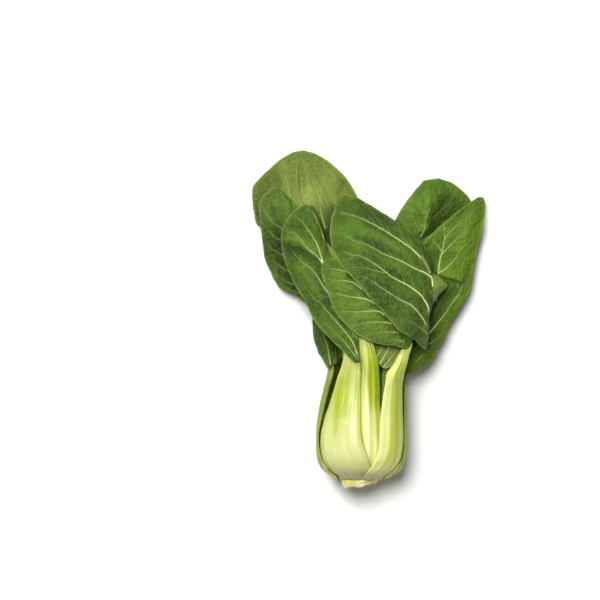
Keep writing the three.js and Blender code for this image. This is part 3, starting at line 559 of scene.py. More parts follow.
def cut_finish():
    """Straw and cream patches, brown bruises and a pale rim."""
    finish = Finish("cut stump", IOR=1.38, Subsurface_Weight=0.10, Subsurface_Scale=0.003)
    place = finish.place()
    grain, patches = finish.noise(place, 420, 4), finish.noise(place, 190, 3)
    colour = finish.mix(((patches - 0.44) * 6).held(), (0.70, 0.61, 0.12), (0.80, 0.74, 0.36))
    bruises = ((grain - 0.56) * 7).held() * 0.5
    colour = finish.mix(bruises, colour, (0.46, 0.36, 0.08))
    colour = finish.mix(finish.held_value("rim").held() * 0.85, colour, (0.82, 0.79, 0.56))
    finish.surface(Base_Color=colour, Roughness=0.62 + grain * 0.25)
    finish.raised(grain + patches, 0.8, 0.0012)
    return finish.material


def vein_finish():
    """Pale where the vein is thick, and green where it runs out."""
    finish = Finish("vein", Roughness=0.42, Specular_IOR_Level=0.3)
    tone = finish.noise(finish.place(), 90, 2)
    thick = finish.held_value("vein_radius") * TO_SHARE - 0.14 + (tone - 0.5) * 0.3
    finish.surface(Base_Color=finish.mix(thick.held(), (0.11, 0.18, 0.022), (0.54, 0.64, 0.24)))
    return finish.material


CUT, VEIN = cut_finish(), vein_finish()
print("stump and vein finishes made")

# %% [markdown]
# ## Veins, as paths on a blade
#
# The pale veins are what one reads a leaf by. The main ones leave the midrib and run out to
# the margin in long easy curves, thick at the root and hair-thin at the end, and short side
# branches leave them left and right. They could be painted, but they stand out of the blade
# and catch the light, so each becomes a thin tube sunk to its middle in the skin. First they
# are only paths: a list of rows and columns on the blade's grid.

# %% Find a place on the blade's grid
ABOVE_ALL = 200     # higher than the whole head


class Ground:
    """A blade's fine grid, to lay veins on."""
    def __init__(self, sheet):
        self.sheet = sheet
        points = [Vector(p) for p in sheet.reshape(-1, 3)]
        self.tree = BVHTree.FromPolygons(points, quads_of(*sheet.shape[:2]).tolist())

    def spot(self, point, index):
        """The row and column of a point that lies in the quad of this number."""
        i, j = divmod(index, self.sheet.shape[1] - 1)
        corner = self.sheet[i, j]
        sides = np.stack([self.sheet[i + 1, j] - corner, self.sheet[i, j + 1] - corner], axis=1)
        along, across = np.linalg.lstsq(sides, np.array(point) - corner, rcond=None)[0]
        return i + min(max(along, 0), 1), j + min(max(across, 0), 1)

    def below(self, x, y):
        """The row and column met by a line coming straight down at x, y."""
        above = Vector((x, y, ABOVE_ALL))
        point, _, index, _ = self.tree.ray_cast(above, Vector((0, 0, -1)))
        return None if index is None else self.spot(point, index)

    def nearest(self, point):
        """The row and column of the blade's nearest point, and how far off that is."""
        found, _, index, gap = self.tree.find_nearest(Vector(point))
        return self.spot(found, index), gap


def walked_along(line):
    """How far along the line each of its points lies."""
    return np.concatenate([[0], np.linalg.norm(np.diff(line, axis=0), axis=1).cumsum()])


def evenly(sheet, spots, step=0.8):
    """The same path with a point every `step` millimetres, so that no part of it sinks."""
    walked = walked_along(at(sheet, spots[:, 0], spots[:, 1]))
    stops = np.linspace(0, walked[-1], max(int(walked[-1] / step), 5) + 1)
    return np.stack([np.interp(stops, walked, spots[:, k]) for k in (0, 1)], axis=1)


def traced(ground, width, corners):
    """A main vein through points given from above: (width, rows and columns)."""
    line = finer_one_way(np.array(corners, float), 6)
    spots = [ground.below(x, y) for x, y in line]
    spots = np.array([spot for spot in spots if spot is not None])
    return (width, evenly(ground.sheet, spots)) if len(spots) > 5 else None


def by_rule(sheet, width, start, side, reach=0.92, sweep=0.17):
    """A main vein that leaves the midrib at `start` and sweeps out to one margin.

    start, reach and sweep are shares of the blade's length and of half its width."""
    t = np.linspace(0, 1, 44)
    along = np.clip(start + sweep * t ** 1.25, 0, 0.985)
    across = 0.5 + 0.5 * side * reach * t
    spots = np.stack([along * (sheet.shape[0] - 1), across * (sheet.shape[1] - 1)], axis=1)
    return width, evenly(sheet, spots)


# %% [markdown]
# ### Side branches
#
# Short thin branches leave each main vein to one side and the other in turn, and bend towards
# its direction as they go. There are far too many to give by hand. So each is walked over the
# blade: a step aside, back onto the skin, and the next step turned a little more along the main
# vein. Seeded draws make each one different, and the same on every run.

# %% Side branches
BRANCH_STEP = 1.5       # a branch is walked in steps of this length
BRANCH_LEAN = 0.95      # its angle to the main vein, in radians, which closes at each step
OFF_THE_BLADE = 1.2     # a step that ends further from the blade than this has left it
BRANCH_WIDTH = 0.32     # against the main vein's


def branches(ground, vein, every, seed):
    """Short thin veins that leave a main one to either side in turn."""
    width, spots = vein
    draw = np.random.default_rng(seed)
    sheet = ground.sheet
    line = at(sheet, spots[:, 0], spots[:, 1])
    normal = at(normals(sheet), spots[:, 0], spots[:, 1])
    walked = walked_along(line)
    found = []
    place, side = every * 0.5, 1
    while place < walked[-1] - 2:
        k = int(np.searchsorted(walked, place))
        ahead = line[min(k + 1, len(line) - 1)] - line[k - 1]
        ahead /= np.linalg.norm(ahead)
        aside = np.cross(normal[k], ahead) * side
        here, path = line[k], [spots[k]]
        for step in range(int(draw.integers(4, 8))):
            lean = BRANCH_LEAN - 0.11 * step + draw.uniform(-0.12, 0.12)
            here = here + (ahead * math.cos(lean) + aside * math.sin(lean)) * BRANCH_STEP
            spot, gap = ground.nearest(here)
            if gap > OFF_THE_BLADE:
                break
            path.append(spot)
            here = at(sheet, np.array(spot[:1]), np.array(spot[1:]))[0]
        if len(path) > 3:
            bend = evenly(sheet, finer_one_way(np.array(path), 2))
            found.append((BRANCH_WIDTH * min(1, width), bend))
        place += every * draw.uniform(0.7, 1.3)
        side = -side
    return found


# %% [markdown]
# ## Tubes along the paths
#
# A vein's tube follows its path, so Geometry Nodes can make all of a leaf's veins at once: a
# small circle is swept along each path and scaled by the radius that the path carries. The
# tree has named inputs for the number of sides and for the thickness, and it ends by making
# the result real and giving it its finish.

# %% The tree that sweeps veins
def sweeping_tree():
    tree = bpy.data.node_groups.new("veins along paths", "GeometryNodeTree")
    inputs = {"Paths": "Geometry", "Sides": "Int", "Thickness": "Float", "Finish": "Material"}
    for name, kind in inputs.items():
        tree.interface.new_socket(name, in_out="INPUT", socket_type="NodeSocket" + kind)
    tree.interface.new_socket("Veins", in_out="OUTPUT", socket_type="NodeSocketGeometry")
    add = tree.nodes.new
    given, result = add("NodeGroupInput"), add("NodeGroupOutput")
    circle, sweep = add("GeometryNodeCurvePrimitiveCircle"), add("GeometryNodeCurveToMesh")
    radius, scale = add("GeometryNodeInputRadius"), add("ShaderNodeMath")
    smooth_shade, real = add("GeometryNodeSetShadeSmooth"), add("GeometryNodeRealizeInstances")
    paint, keep = add("GeometryNodeSetMaterial"), add("GeometryNodeStoreNamedAttribute")
    keep.data_type, keep.domain = "FLOAT", "POINT"
    keep.inputs["Name"].default_value = "vein_radius"
    scale.operation = "MULTIPLY"
    circle.inputs["Radius"].default_value = 1.0
    sweep.inputs["Fill Caps"].default_value = True
    wires = [
        (given, "Paths", keep, "Geometry"), (radius, 0, keep, "Value"), (keep, 0, sweep, "Curve"),
        (given, "Sides", circle, "Resolution"), (circle, "Curve", sweep, "Profile Curve"),
        (radius, 0, scale, 0), (given, "Thickness", scale, 1), (scale, 0, sweep, "Scale"),
        (sweep, 0, smooth_shade, 0), (smooth_shade, 0, real, 0), (real, 0, paint, "Geometry"),
        (given, "Finish", paint, "Material"), (paint, 0, result, 0),
    ]
    for giver, leaving, taker, entering in wires:
        tree.links.new(giver.outputs[leaving], taker.inputs[entering])
    return tree


def grown(name, source, tree, **sizes):
    """What a tree makes of an object, as a plain mesh with no modifier."""
    modifier = source.modifiers.new("grow", "NODES")
    modifier.node_group = tree
    for item in tree.interface.items_tree:
        if item.in_out == "INPUT" and item.name in sizes:
            modifier[item.identifier] = sizes[item.name]
    seen = source.evaluated_get(bpy.context.evaluated_depsgraph_get())
    mesh = bpy.data.meshes.new_from_object(seen)
    mesh.name = name
    bpy.data.objects.remove(source)
    return placed(name, mesh)


# %% [markdown]
# ### A leaf's veins as one piece
#
# A vein lies partly sunk in the blade and thins out towards its end. All the paths of a leaf
# become one curve object, whose points carry their radius and lie a little below the skin, and
# the tree above sweeps them together. Single tubes would look the same, but they would be many
# objects where one is enough.

# %% Lay a leaf's veins on its blade
VEIN_TREE = sweeping_tree()
VEIN_SINK = 0.45    # how deep a vein's middle lies in the skin, in radii
VEIN_TAPER = 0.78   # what a vein loses of its width from root to end


def vein_tubes(name, surface, veins):
    """Tubes along all the veins of a leaf, as one piece."""
    curve = bpy.data.curves.new(name, "CURVE")
    curve.dimensions = "3D"
    normal = normals(surface)
    for width, spots in veins:
        line = at(surface, spots[:, 0], spots[:, 1])
        t = np.linspace(0, 1, len(line))
        radius = width / 2 * (1 - VEIN_TAPER * t ** 0.8)
        line = line - at(normal, spots[:, 0], spots[:, 1]) * (radius[:, None] * VEIN_SINK)
        line = np.clip(line, plain_low + radius[:, None], plain_high - radius[:, None])
        spline = curve.splines.new("POLY")
        spline.points.add(len(line) - 1)
        corners = np.concatenate([line * MM, np.ones((len(line), 1))], axis=1)
        spline.points.foreach_set("co", corners.ravel())
        spline.points.foreach_set("radius", radius * MM)
    source = placed(name + "_paths", curve)
    return grown(name, source, VEIN_TREE, Sides=7, Thickness=1.0, Finish=VEIN)


# %% [markdown]
# ## The blades
#
# Where a vein runs, the blade is drawn down into a groove, and between the veins it swells up
# like a pillow. The margin ruffles a little, because it grew faster than the middle. So each
# blade's fine grid is pushed along its own normal by all of these at once, and its distance
# from the nearest vein is kept as a value for the finish to pale by. Sculpting by hand would be
# quicker for one leaf, but the same words then serve all eleven. In the tables that follow:
#
# - columns: how many the plain blade has, and fine: into how many each of them is cut
# - veins: width, and the points from above that a main vein passes through, from its root on
# - ruled: how many main veins follow the rule on a side, on which sides, where the first one
#   starts and how wide it is
# - folds: height, half width and points of a ridge, and for a lip the width of its steep side
# - bands: strength, half width and points of a strip of painted shade
# - pale and deep: x, y, radius and strength of soft round patches; pale ones are partly the
#   leaf's own paler tone and partly painted light, deep ones are painted shade
# - swell: how strongly the blade swells between its veins

# %% The leaf on top
BLADES = {}
BLADES["top"] = dict(
    finish=LEAF_DARK, ruled=(5, (1,), 0.1, 0.4), swell=1.25,
    veins=[
        (1.35, [(42.6, 22), (42.2, 26), (41.4, 30), (38, 37), (35, 41), (30, 46), (25, 50),
                (15, 57), (5, 63), (-5, 68), (-13, 71), (-20, 72.5)]),
        (1.0, [(41, 28.5), (38, 31), (30, 34.5), (20, 39.5), (8, 44.5), (0, 49), (-5, 51),
               (-11, 53), (-17, 57)]),
        (1.25, [(39.6, 2), (39.3, 8), (37, 13), (33, 17.5), (25, 23), (15, 28.5), (5, 35.8),
                (-5, 42), (-12, 43.2), (-17, 45.3)]),
        (1.0, [(38.2, -4), (35, 1.5), (28, 9), (20, 13.2), (10, 19.5), (0, 26.5), (-4, 28.3),
               (-8, 28.5)]),
        (0.7, [(38.6, -10.4), (35, -6.5), (30, -2.8), (25, -0.6)]),
        (0.5, [(10, 31), (2, 33), (-5, 34.7), (-15, 35)]),
        (0.6, [(44, 14.5), (42, 17.5), (38, 22)]),
    ],
    folds=[
        (2.4, 3.8, [(-19, 70), (-8, 63), (2, 57.5), (12, 51.5), (24, 44.5), (36, 36.5)]),
        (1.3, 4.5, [(-18, 53), (-6, 48.5), (6, 42), (18, 36), (32, 27)]),
        (1.0, 4.0, [(-8, 36), (4, 29), (14, 23), (26, 16), (35, 8)]),
    ],
    # The three small pale patches by the right margin are painted light where the blade turns away
    # from the light; the deep patches and the strips are painted shade.
    pale=[(29, 10, 10, 0.05), (39.4, 4, 3, 0.2), (38.4, -5, 4, 0.25), (37, -15, 4, 0.25)],
    deep=[(4, 72, 14, 0.4), (6, 55, 10, 0.2)],
    bands=[
        (0.6, 2.6, [(-16, 60), (-8, 54.6), (2, 51), (12, 45.8), (24, 40.4), (34, 35.6)]),
        (0.4, 2.2, [(-14, 46), (-2, 42), (8, 35.6), (20, 27.8), (30, 21.6)]),
        (0.4, 2.2, [(-8, 31), (2, 26.6), (12, 20.4), (24, 13.4), (33, 6)]),
    ],
)

# %% [markdown]
# ### The two blades in front
#
# The front left blade is dark, and its lower tip hangs over its stalk. The front right one is
# fresher green and spreads to the left, under the top leaf. The rule could vein them both, but
# much of them is seen, and its evenness would show. So their main veins are listed one by one.

# %% The leaves in front
BLADES["front_left"] = dict(
    finish=LEAF_DARK, swell=1.2,
    veins=[
        (1.2, [(-13, -4), (-15.5, 2), (-19, 8), (-22.4, 15), (-27, 26), (-31.7, 38)]),
        (0.85, [(-31.6, 37.5), (-35, 42), (-40, 47), (-45, 53), (-50, 57.5), (-55, 60.5)]),
        (0.95, [(-31.8, 38), (-34.5, 48), (-37, 53), (-40, 58), (-45.5, 65.5), (-51, 70.5)]),
        (0.7, [(-31.4, 55), (-33, 60), (-35.5, 66), (-38.5, 72), (-44, 75.4)]),
        (0.9, [(-22.2, 14.4), (-25, 15.6), (-28, 17.5), (-31, 21.5), (-37, 31), (-40, 34.5),
               (-45.5, 38.5), (-52, 45)]),
        (0.8, [(-8.6, -24), (-13, -13.5), (-22, -2.5), (-28, 4), (-33, 10), (-38.5, 15.5),
               (-44, 22)]),
        (0.6, [(-9, -26.5), (-17, -15.6), (-25, -8), (-32, -1)]),
        (0.5, [(-9.8, -12), (-16, -4), (-22, 3), (-27, 8)]),
    ],
    folds=[
        (2.6, 4.2, [(-60, 58), (-53, 54), (-45, 51), (-38, 46), (-34, 40)]),
        (1.8, 4.0, [(-55, 36), (-47, 33), (-41, 27), (-37, 18), (-34, 8)]),
        (1.2, 3.0, [(-44, 72), (-40, 66), (-37, 60), (-34.5, 52)]),
    ],
    bands=[
        (0.7, 3.0, [(-58, 48.6), (-50, 47), (-43, 45.6), (-36, 41), (-32.6, 35)]),
        (0.9, 2.4, [(-34.8, 40), (-33.4, 30), (-30.6, 21.6), (-27.4, 12), (-23.4, 3), (-17, -4.8),
                    (-9, -11)]),
    ],
)
BLADES["front_right"] = dict(
    finish=LEAF_UPPER, swell=1.1,
    veins=[
        (0.9, [(-5.6, 20.4), (-9.5, 23.5), (-12, 25), (-18, 26), (-28, 26.5)]),
        (1.0, [(4, 9.8), (0, 12.3), (-5, 14), (-14, 15.3), (-20, 16.5), (-26, 17)]),
        (0.95, [(9.6, 3), (6, 5.2), (0, 5.4), (-10, 4.8), (-19, 5.5)]),
        (0.8, [(14.5, -3), (11, -2.2), (4, -2), (-3, -2.4), (-11, -4)]),
        (0.6, [(19, -9), (12, -8.6), (3, -9.4), (-3, -10.6)]),
        (0.7, [(-14, 31), (-20, 33), (-30, 34.5)]),
        (0.6, [(22.6, -15), (17, -14), (11, -14.6)]),
    ],
    folds=[
        (1.0, 3.0, [(-29, 30), (-20, 29.5), (-13, 29)]),
        (0.9, 3.0, [(-27, 21), (-16, 21), (-6, 18.5)]),
        (0.9, 3.0, [(-22, 10.5), (-10, 9.5), (2, 9)]),
        (0.9, 2.6, [(-14, 0), (-2, 1.2), (9, 0.5)]),
        (0.9, 2.6, [(-6, -6.5), (4, -6), (14, -7)]),
    ],
    pale=[(8, -12, 12, 0.08), (-20, 22, 14, 0.04), (-4, 8, 12, 0.08)],
    bands=[(1.0, 1.8, [(-20, 36.4), (-14.6, 29.8), (-8.8, 23), (-0.2, 13), (6.8, 5.4), (13.4, -2),
                       (19.4, -8.8), (27, -14)])],
)

# %% [markdown]
# ### The blade that shows its lower face
#
# The middle leaf lies with its pale lower face up. It could be a kind of piece of its own, but
# every blade's two faces have separate finishes already. So here they are exchanged: the lower
# face's finish comes first, and an upper face's is the one behind.

# %% The middle leaf, which shows its lower face
BLADES["middle"] = dict(
    finish=LEAF_LOWER, behind=LEAF_UPPER, swell=0.45,
    veins=[
        (0.6, [(-30, 62), (-33, 72), (-33.6, 82), (-32, 92), (-28, 100)]),
        (0.55, [(-40, 70), (-41.5, 82), (-42, 95), (-42, 106)]),
        (0.7, [(-46, 70), (-53, 82), (-56, 95), (-57, 106)]),
        (0.6, [(-50, 68), (-59, 78), (-65, 90), (-68, 98)]),
        (0.6, [(-24, 58), (-22, 70), (-19, 82), (-16, 90)]),
        (1.0, [(3.0, -30), (4.3, -26.5), (8.5, -17.7), (12, -8)]),
        (1.1, [(4.6, -32.4), (6.6, -30), (13.5, -18.4), (18, -8)]),
        (0.9, [(8.5, -33), (12, -29), (17.5, -21), (21, -15)]),
        (0.7, [(11.5, -32.4), (16, -28.4), (21, -23)]),
    ],
    folds=[
        (1.2, 3.0, [(-60, 112), (-58, 95), (-54, 80), (-48, 68)]),
        (1.0, 3.5, [(-24, 106), (-24, 92), (-23, 78), (-22, 66)]),
    ],
    # The last pale patch is painted light where the front right blade shades this lower face. The
    # deep patches are painted shade where the blade dips between other leaves.
    pale=[(-42, 84, 9, 0.2), (-45, 105, 9, 0.07), (12, -25, 10, 0.26)],
    deep=[(-27, 56, 12, 1.7), (-22, 72, 9, 0.9), (-77, 72, 9, 1.1), (-67, 92, 8, 0.35),
          (-27, 90, 8, 0.3)],
)

# %% [markdown]
# ### The blades at the sides
#
# The left blade is dark and mostly covered, so the rule veins it, with one listed vein where it
# shows beside the stalks. The right one is large and lies open to the light. All its main veins
# are listed, and its first fold is a lip, where the blade drops away like a step.

# %% The leaves at the sides
BLADES["left"] = dict(
    finish=LEAF_DARK, ruled=(7, (-1, 1), 0.22, 0.7), swell=1.2,
    veins=[(0.7, [(-26.4, -31), (-28.9, -17.7), (-33, -7.5), (-36.4, 1)])],
    folds=[
        (1.6, 3.5, [(-70, 74), (-66, 62), (-66, 48), (-64, 36)]),
        (1.2, 3.0, [(-60, 84), (-55, 76), (-52, 68)]),
    ],
    pale=[(-64, 82, 12, 0.15)],
    deep=[(-34, -8, 22, 0.4), (-60, 34, 14, 0.3), (-66, 54, 9, 0.7)],
    bands=[(1.0, 2.8, [(-59, 66), (-61.4, 58), (-61, 48), (-59.4, 41), (-56.4, 31), (-51, 20),
                       (-44, 9)])],
)
BLADES["right"] = dict(
    finish=LEAF_BRIGHT, swell=1.1,
    veins=[
        (1.3, [(45.6, 12), (46.4, 22), (47.2, 32), (48.4, 41), (49.8, 46), (50.8, 51), (51.6, 57),
               (51.4, 62), (50.6, 66)]),
        (0.8, [(47.3, 31), (52, 34), (56, 38), (60, 43), (63, 48), (69, 54)]),
        (0.6, [(49.4, 44), (55, 50), (62, 57), (70, 64)]),
        (0.5, [(51.2, 55), (58, 62), (67, 70), (73, 76)]),
        (0.7, [(49.6, 46), (46, 51), (42, 53.6)]),
        (1.1, [(38.6, -12), (44, -6), (48, -1), (52, 4), (56, 10), (61, 17), (65.5, 26)]),
        (0.7, [(37.4, -18), (42, -16.3), (45.9, -13.6), (50, -9)]),
        (0.5, [(31.6, -29), (37.1, -23.8), (43, -20)]),
        (0.4, [(44.4, 4), (50, 14), (57, 24), (65, 33)]),
    ],
    folds=[
        (2.6, 8.0, [(42, 33), (47, 30.5), (53, 28.6), (60, 26.4), (66, 24.4)], 1.4),
        (1.6, 3.2, [(70, 18), (64, 10), (58, 2), (53, -8), (48, -18)]),
        (1.2, 4.0, [(74, 76), (68, 64), (64, 52), (60, 40)]),
    ],
    pale=[(60, 66, 10, 0.06), (38, -26, 8, 0.05)],
    deep=[(44, 42, 9, 0.4), (50, 16, 9, 0.5), (58, 22, 7, 0.5), (59, 6, 9, 0.4)],
    bands=[(0.9, 3.4, [(44, 14), (42.4, 6), (41.6, -4), (41, -12), (38, -22)])],
)

# %% [markdown]
# ### The blades behind and inside
#
# The back right blade is cupped, so it has a ridge and a wide hollow. Of the other four little or
# nothing shows from above. They could stay plain, but some of them come into view when the head
# is seen from the side, so the rule veins them on a coarser grid.

# %% The leaves behind and inside
BLADES["back_right"] = dict(
    columns=10, finish=LEAF_UPPER, ruled=(5, (-1, 1), 0.3, 0.45), swell=1.1,
    veins=[(0.6, [(35.6, 56), (37.4, 62), (38.5, 70), (42, 78), (48, 88)])],
    folds=[
        (1.5, 3.0, [(37, 56), (38.6, 66), (40, 76), (42, 90)]),
        (-1.6, 6.0, [(46, 58), (49, 68), (52, 78), (55, 88)]),
    ],
    # Its pale patches are partly a yellower tone and partly painted light on the side that faces
    # the light. Its deep patch and its strip are painted shade.
    pale=[(28, 80, 9, 0.12), (26, 72, 7, 0.08)],
    deep=[(47, 72, 9, 0.3)],
    bands=[(1.1, 3.0, [(24, 44), (31, 50), (38, 56), (46, 63), (55, 71), (66, 80)])],
)
BLADES["back_left"] = dict(columns=8, finish=LEAF_UPPER, ruled=(7, (-1, 1), 0.04, 0.85), fine=6)
BLADES["back"] = dict(columns=8, finish=LEAF_UPPER, ruled=(6, (-1, 1), 0.04, 0.85), fine=6)
BLADES["heart_a"] = dict(columns=6, finish=LEAF_BRIGHT, ruled=(4, (-1, 1), 0.04, 0.6), fine=5)
BLADES["heart_b"] = dict(columns=6, finish=LEAF_BRIGHT, ruled=(4, (-1, 1), 0.04, 0.6), fine=5)
print("main veins by hand:", {leaf: len(like.get("veins", [])) for leaf, like in BLADES.items()})


# %% [markdown]
# ## Folds, strips and patches
#
# A fold is a soft ridge that runs somewhere, and a lip is one that drops away steeply on one
# side. Strips of painted shade on the blades, and greener or paler strips on the stalks, run along
# paths too. Sculpting and painting tools would put them on by hand, one leaf at a time. Here a
# path given from above is enough, and the same function measures folds, painted shades and
# tints by how far each point lies from it.

# %% Folds seen from above
def folds_over(sheet, folds):
    """Height to add along paths: a ridge, or a lip that drops away to the right of its path."""
    place = sheet[..., :2].reshape(-1, 1, 2)
    total = np.zeros(len(place))
    for height, reach, corners, *lip in folds:
        line = finer_one_way(np.array(corners, float), 6)
        start, step = line[:-1], np.diff(line, axis=0)
        apart = place - start
        t = np.clip((apart * step).sum(-1) / (step ** 2).sum(-1), 0, 1)
        gap = np.linalg.norm(apart - t[..., None] * step, axis=-1)
        near = gap.argmin(axis=1)
        rows = np.arange(len(place))
        side = step[near, 0] * apart[rows, near, 1] - step[near, 1] * apart[rows, near, 0]
        side = np.sign(side) * gap[rows, near]
        along = (near + t[rows, near]) / len(step)
        ends = smooth(along, 0.0, 0.22) * (1 - smooth(along, 0.78, 1.0))
        if lip:
            shape = np.exp(-np.maximum(side, 0) / reach) * smooth(side, -lip[0], 0)
        else:
            shape = np.exp(-(side / reach) ** 2)
        total += height * shape * ends
    return total.reshape(sheet.shape[:2])


def patches_over(sheet, patches):
    """Soft round patches: x, y, radius and strength."""
    total = np.zeros(sheet.shape[:2])
    for x, y, radius, strength in patches:
        away = (sheet[..., 0] - x) ** 2 + (sheet[..., 1] - y) ** 2
        total += strength * np.exp(-away / radius ** 2)
    return total


# %% [markdown]
# ### How far from the margin, and from a vein
#
# Much on a blade goes by distance: it is thinnest at its margin, and it sinks and pales next to a
# vein. A straight line to the margin could jump across a fold, so that distance is walked along
# the blade's rows and columns. The nearest vein is close by, so a straight line serves for it.

# %% Distances over a blade
def from_margin(sheet):
    """How far each point is from the nearest margin, in millimetres along the blade."""
    across = np.linalg.norm(np.diff(sheet, axis=1), axis=2).cumsum(axis=1)
    along = np.linalg.norm(np.diff(sheet, axis=0), axis=2).cumsum(axis=0)
    left = np.pad(across, ((0, 0), (1, 0)))
    walked = np.pad(along, ((1, 0), (0, 0)))
    return np.minimum(np.minimum(left, left[:, -1:] - left), walked[-1:] - walked)


AT_ONCE = 4000      # points measured at a time, to spare memory


def from_veins(sheet, veins):
    """Distance to the nearest vein, and how strong that vein is, from 0 to 1."""
    spots = np.concatenate([at(sheet, s[:, 0], s[:, 1]) for _, s in veins])
    size = np.concatenate([w * (1 - 0.6 * np.linspace(0, 1, len(s))) for w, s in veins])
    points = sheet.reshape(-1, 3)
    distance, share = np.empty(len(points)), np.empty(len(points))
    for start in range(0, len(points), AT_ONCE):
        these = slice(start, start + AT_ONCE)
        part = points[these]
        square = (part ** 2).sum(1)[:, None] + (spots ** 2).sum(1) - 2 * part @ spots.T
        gap = np.sqrt(np.maximum(square, 0))
        near = (gap + (1.2 - size) * 1.2).argmin(axis=1)    # a thin vein counts as further off
        distance[these] = gap[np.arange(len(part)), near]
        share[these] = np.minimum(size[near] / 1.1, 1)
    return distance.reshape(sheet.shape[:2]), share.reshape(sheet.shape[:2])


# %% [markdown]
# ### All the veins of one blade
#
# Some main veins are listed and some follow the rule, and the branches leave them both. The
# young heart leaves keep to their main veins, as they are hidden inside the head.

# %% Gather a blade's veins
BRANCH_EVERY = 8.5


def veins_of(leaf, ground, seed):
    """A blade's main veins, traced or by rule, and then the branches that leave them."""
    like = BLADES[leaf]
    main = [traced(ground, width, corners) for width, corners in like.get("veins", [])]
    main = [vein for vein in main if vein]
    count, sides, first, width = like.get("ruled", (0, (), 0, 0))
    for side in sides:
        for k in range(count):
            start = first + (0.82 - first) * (k + (0.25 if side > 0 else 0)) / count
            main.append(by_rule(ground.sheet, width * (1 - 0.06 * k), start, side))
    if leaf.startswith("heart"):
        return main
    found = [branches(ground, vein, BRANCH_EVERY, seed * 100 + k) for k, vein in enumerate(main)]
    return main + sum(found, [])


# %% [markdown]
# ### Cushions, furrows and ruffles
#
# A blade grows faster than its veins, which makes it look quilted: cushions between the veins,
# furrows along them and small waves at the margin. A displace modifier with a texture would give
# bumps as well, but they would know nothing of the veins. So the height is worked out at each
# point from its distances.

# %% Swell and furrow a blade
CUSHION, FURROW, FURROW_REACH = 0.42, 0.25, 2.2     # the rise beside a vein, the dip at it
UNEVEN = ((0.24, 17, 0), (0.15, 6, 1), (0.05, 2.6, 3))  # crumple: its height, size and seed
RUFFLE, RUFFLE_SIZE = 0.35, 9                       # the margin's small waves
THIN, THICKER = 0.5, 0.38       # a blade's thickness at its margin, and what it gains inside


def relief(like, sheet, rim, gap, share, seed):
    """How far each point of a blade is raised along its normal."""
    height = CUSHION * share * (1 - np.exp(-(gap / FURROW_REACH) ** 2)) - FURROW * share
    for rise, size, more in UNEVEN:
        height += rise * crumple(sheet, size, seed + more)
    height *= like.get("swell", 1.0) * smooth(rim, 0, 5)
    height += RUFFLE * np.exp(-rim / 3) * crumple(sheet, RUFFLE_SIZE, seed + 2)
    return height + folds_over(sheet, like.get("folds", [])) * smooth(rim, 0, 3)


def turned_over(sheet):
    """Where the top leaf's right margin is folded over, its pale lower face shows."""
    x, y = sheet[..., 0], sheet[..., 1]
    return smooth(x, 42.4, 43.4) * smooth(y, 9, 12) * (1 - smooth(y, 30, 33)) * 0.6


# %% [markdown]
# ### One blade after the other
#
# Here all of it meets. The plain grid is made finer and raised by its relief, a second face is
# laid a little below it, and the two are closed. What the finish reads is kept at each point as a
# named value, which is finer than a painted texture and needs no unwrapping. The closed piece
# takes the plain blade's place, and the veins lie on top of it.

# %% Dress a blade
COLUMNS, FINE = 12, 8       # for the blades whose table says nothing else


def dress_blade(leaf, seed):
    like = BLADES[leaf]
    node = leaf + "_blade"
    front, _ = blade_grid(node, like.get("columns", COLUMNS))
    steps = like.get("fine", FINE)
    sheet = finer(front, steps, steps)
    rows, columns = sheet.shape[:2]
    veins = veins_of(leaf, Ground(sheet), seed)
    rim = from_margin(sheet)
    gap, share = from_veins(sheet, veins)
    height = relief(like, sheet, rim, gap, share, seed)
    top = sheet + normals(sheet) * height[..., None]
    thick = THIN + THICKER * smooth(rim, 0, 4)
    bottom = top - normals(top) * thick[..., None]

    # Pale patches are partly the leaf's own paler tone and partly painted light where a blade lies
    # in shade. Deep patches and dark strips are painted shade, and the margin value drives a
    # painted highlight.
    pale_tone_and_light = patches_over(sheet, like.get("pale", []))
    if leaf == "top":
        pale_tone_and_light += turned_over(sheet)
    shade = patches_over(sheet, like.get("deep", [])) + folds_over(sheet, like.get("bands", []))
    values = {
        "height": height, "near_vein": share * np.exp(-(gap / 1.5) ** 2),
        "margin": np.exp(-rim / 0.9), "pale_tone_and_light": pale_tone_and_light, "shade": shade,
    }
    uv = np.stack(np.meshgrid(np.linspace(0, 1, columns), np.linspace(0, 1, rows)), axis=-1)
    finishes = [like["finish"], like.get("behind", LEAF_LOWER)]
    piece = closed_skin(leaf + "_leaf", top, bottom, values, uv, finishes)
    tubes = vein_tubes(leaf + "_veins", top, veins)
    for made in (piece, tubes):
        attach(made, "root")
    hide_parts(node)
    print(f"{leaf}: blade of {len(piece.data.polygons)} faces, {len(veins)} veins")


for seed, leaf in enumerate(BLADES, start=3):
    dress_blade(leaf, seed)

# %% [markdown]
# ## The stalks
#
# A stalk is ribbed lengthwise: strong fibres run from the butt up into the midrib, and the
# skin between them sinks in. The ribs are close and fine, and they fade where the bulb is
# tightest. Each stalk's fine grid is raised along its normal by a row of such ribs. How green
# it is goes with height, with the furrows and with the thin edges. In the tables that follow:
#
# - across: the columns of the outer face, and ribs: how many ribs there are, roughly
# - green: what the whole stalk is greener by, and leafy: how leaf-like its neck is
# - tints: strength, half width and points of a greener strip, or a paler one if it is negative
# - rib_height: how high the ribs are, where they are lower than on the other stalks
# - snug: how far the inner face swells towards the stalk that it clasps

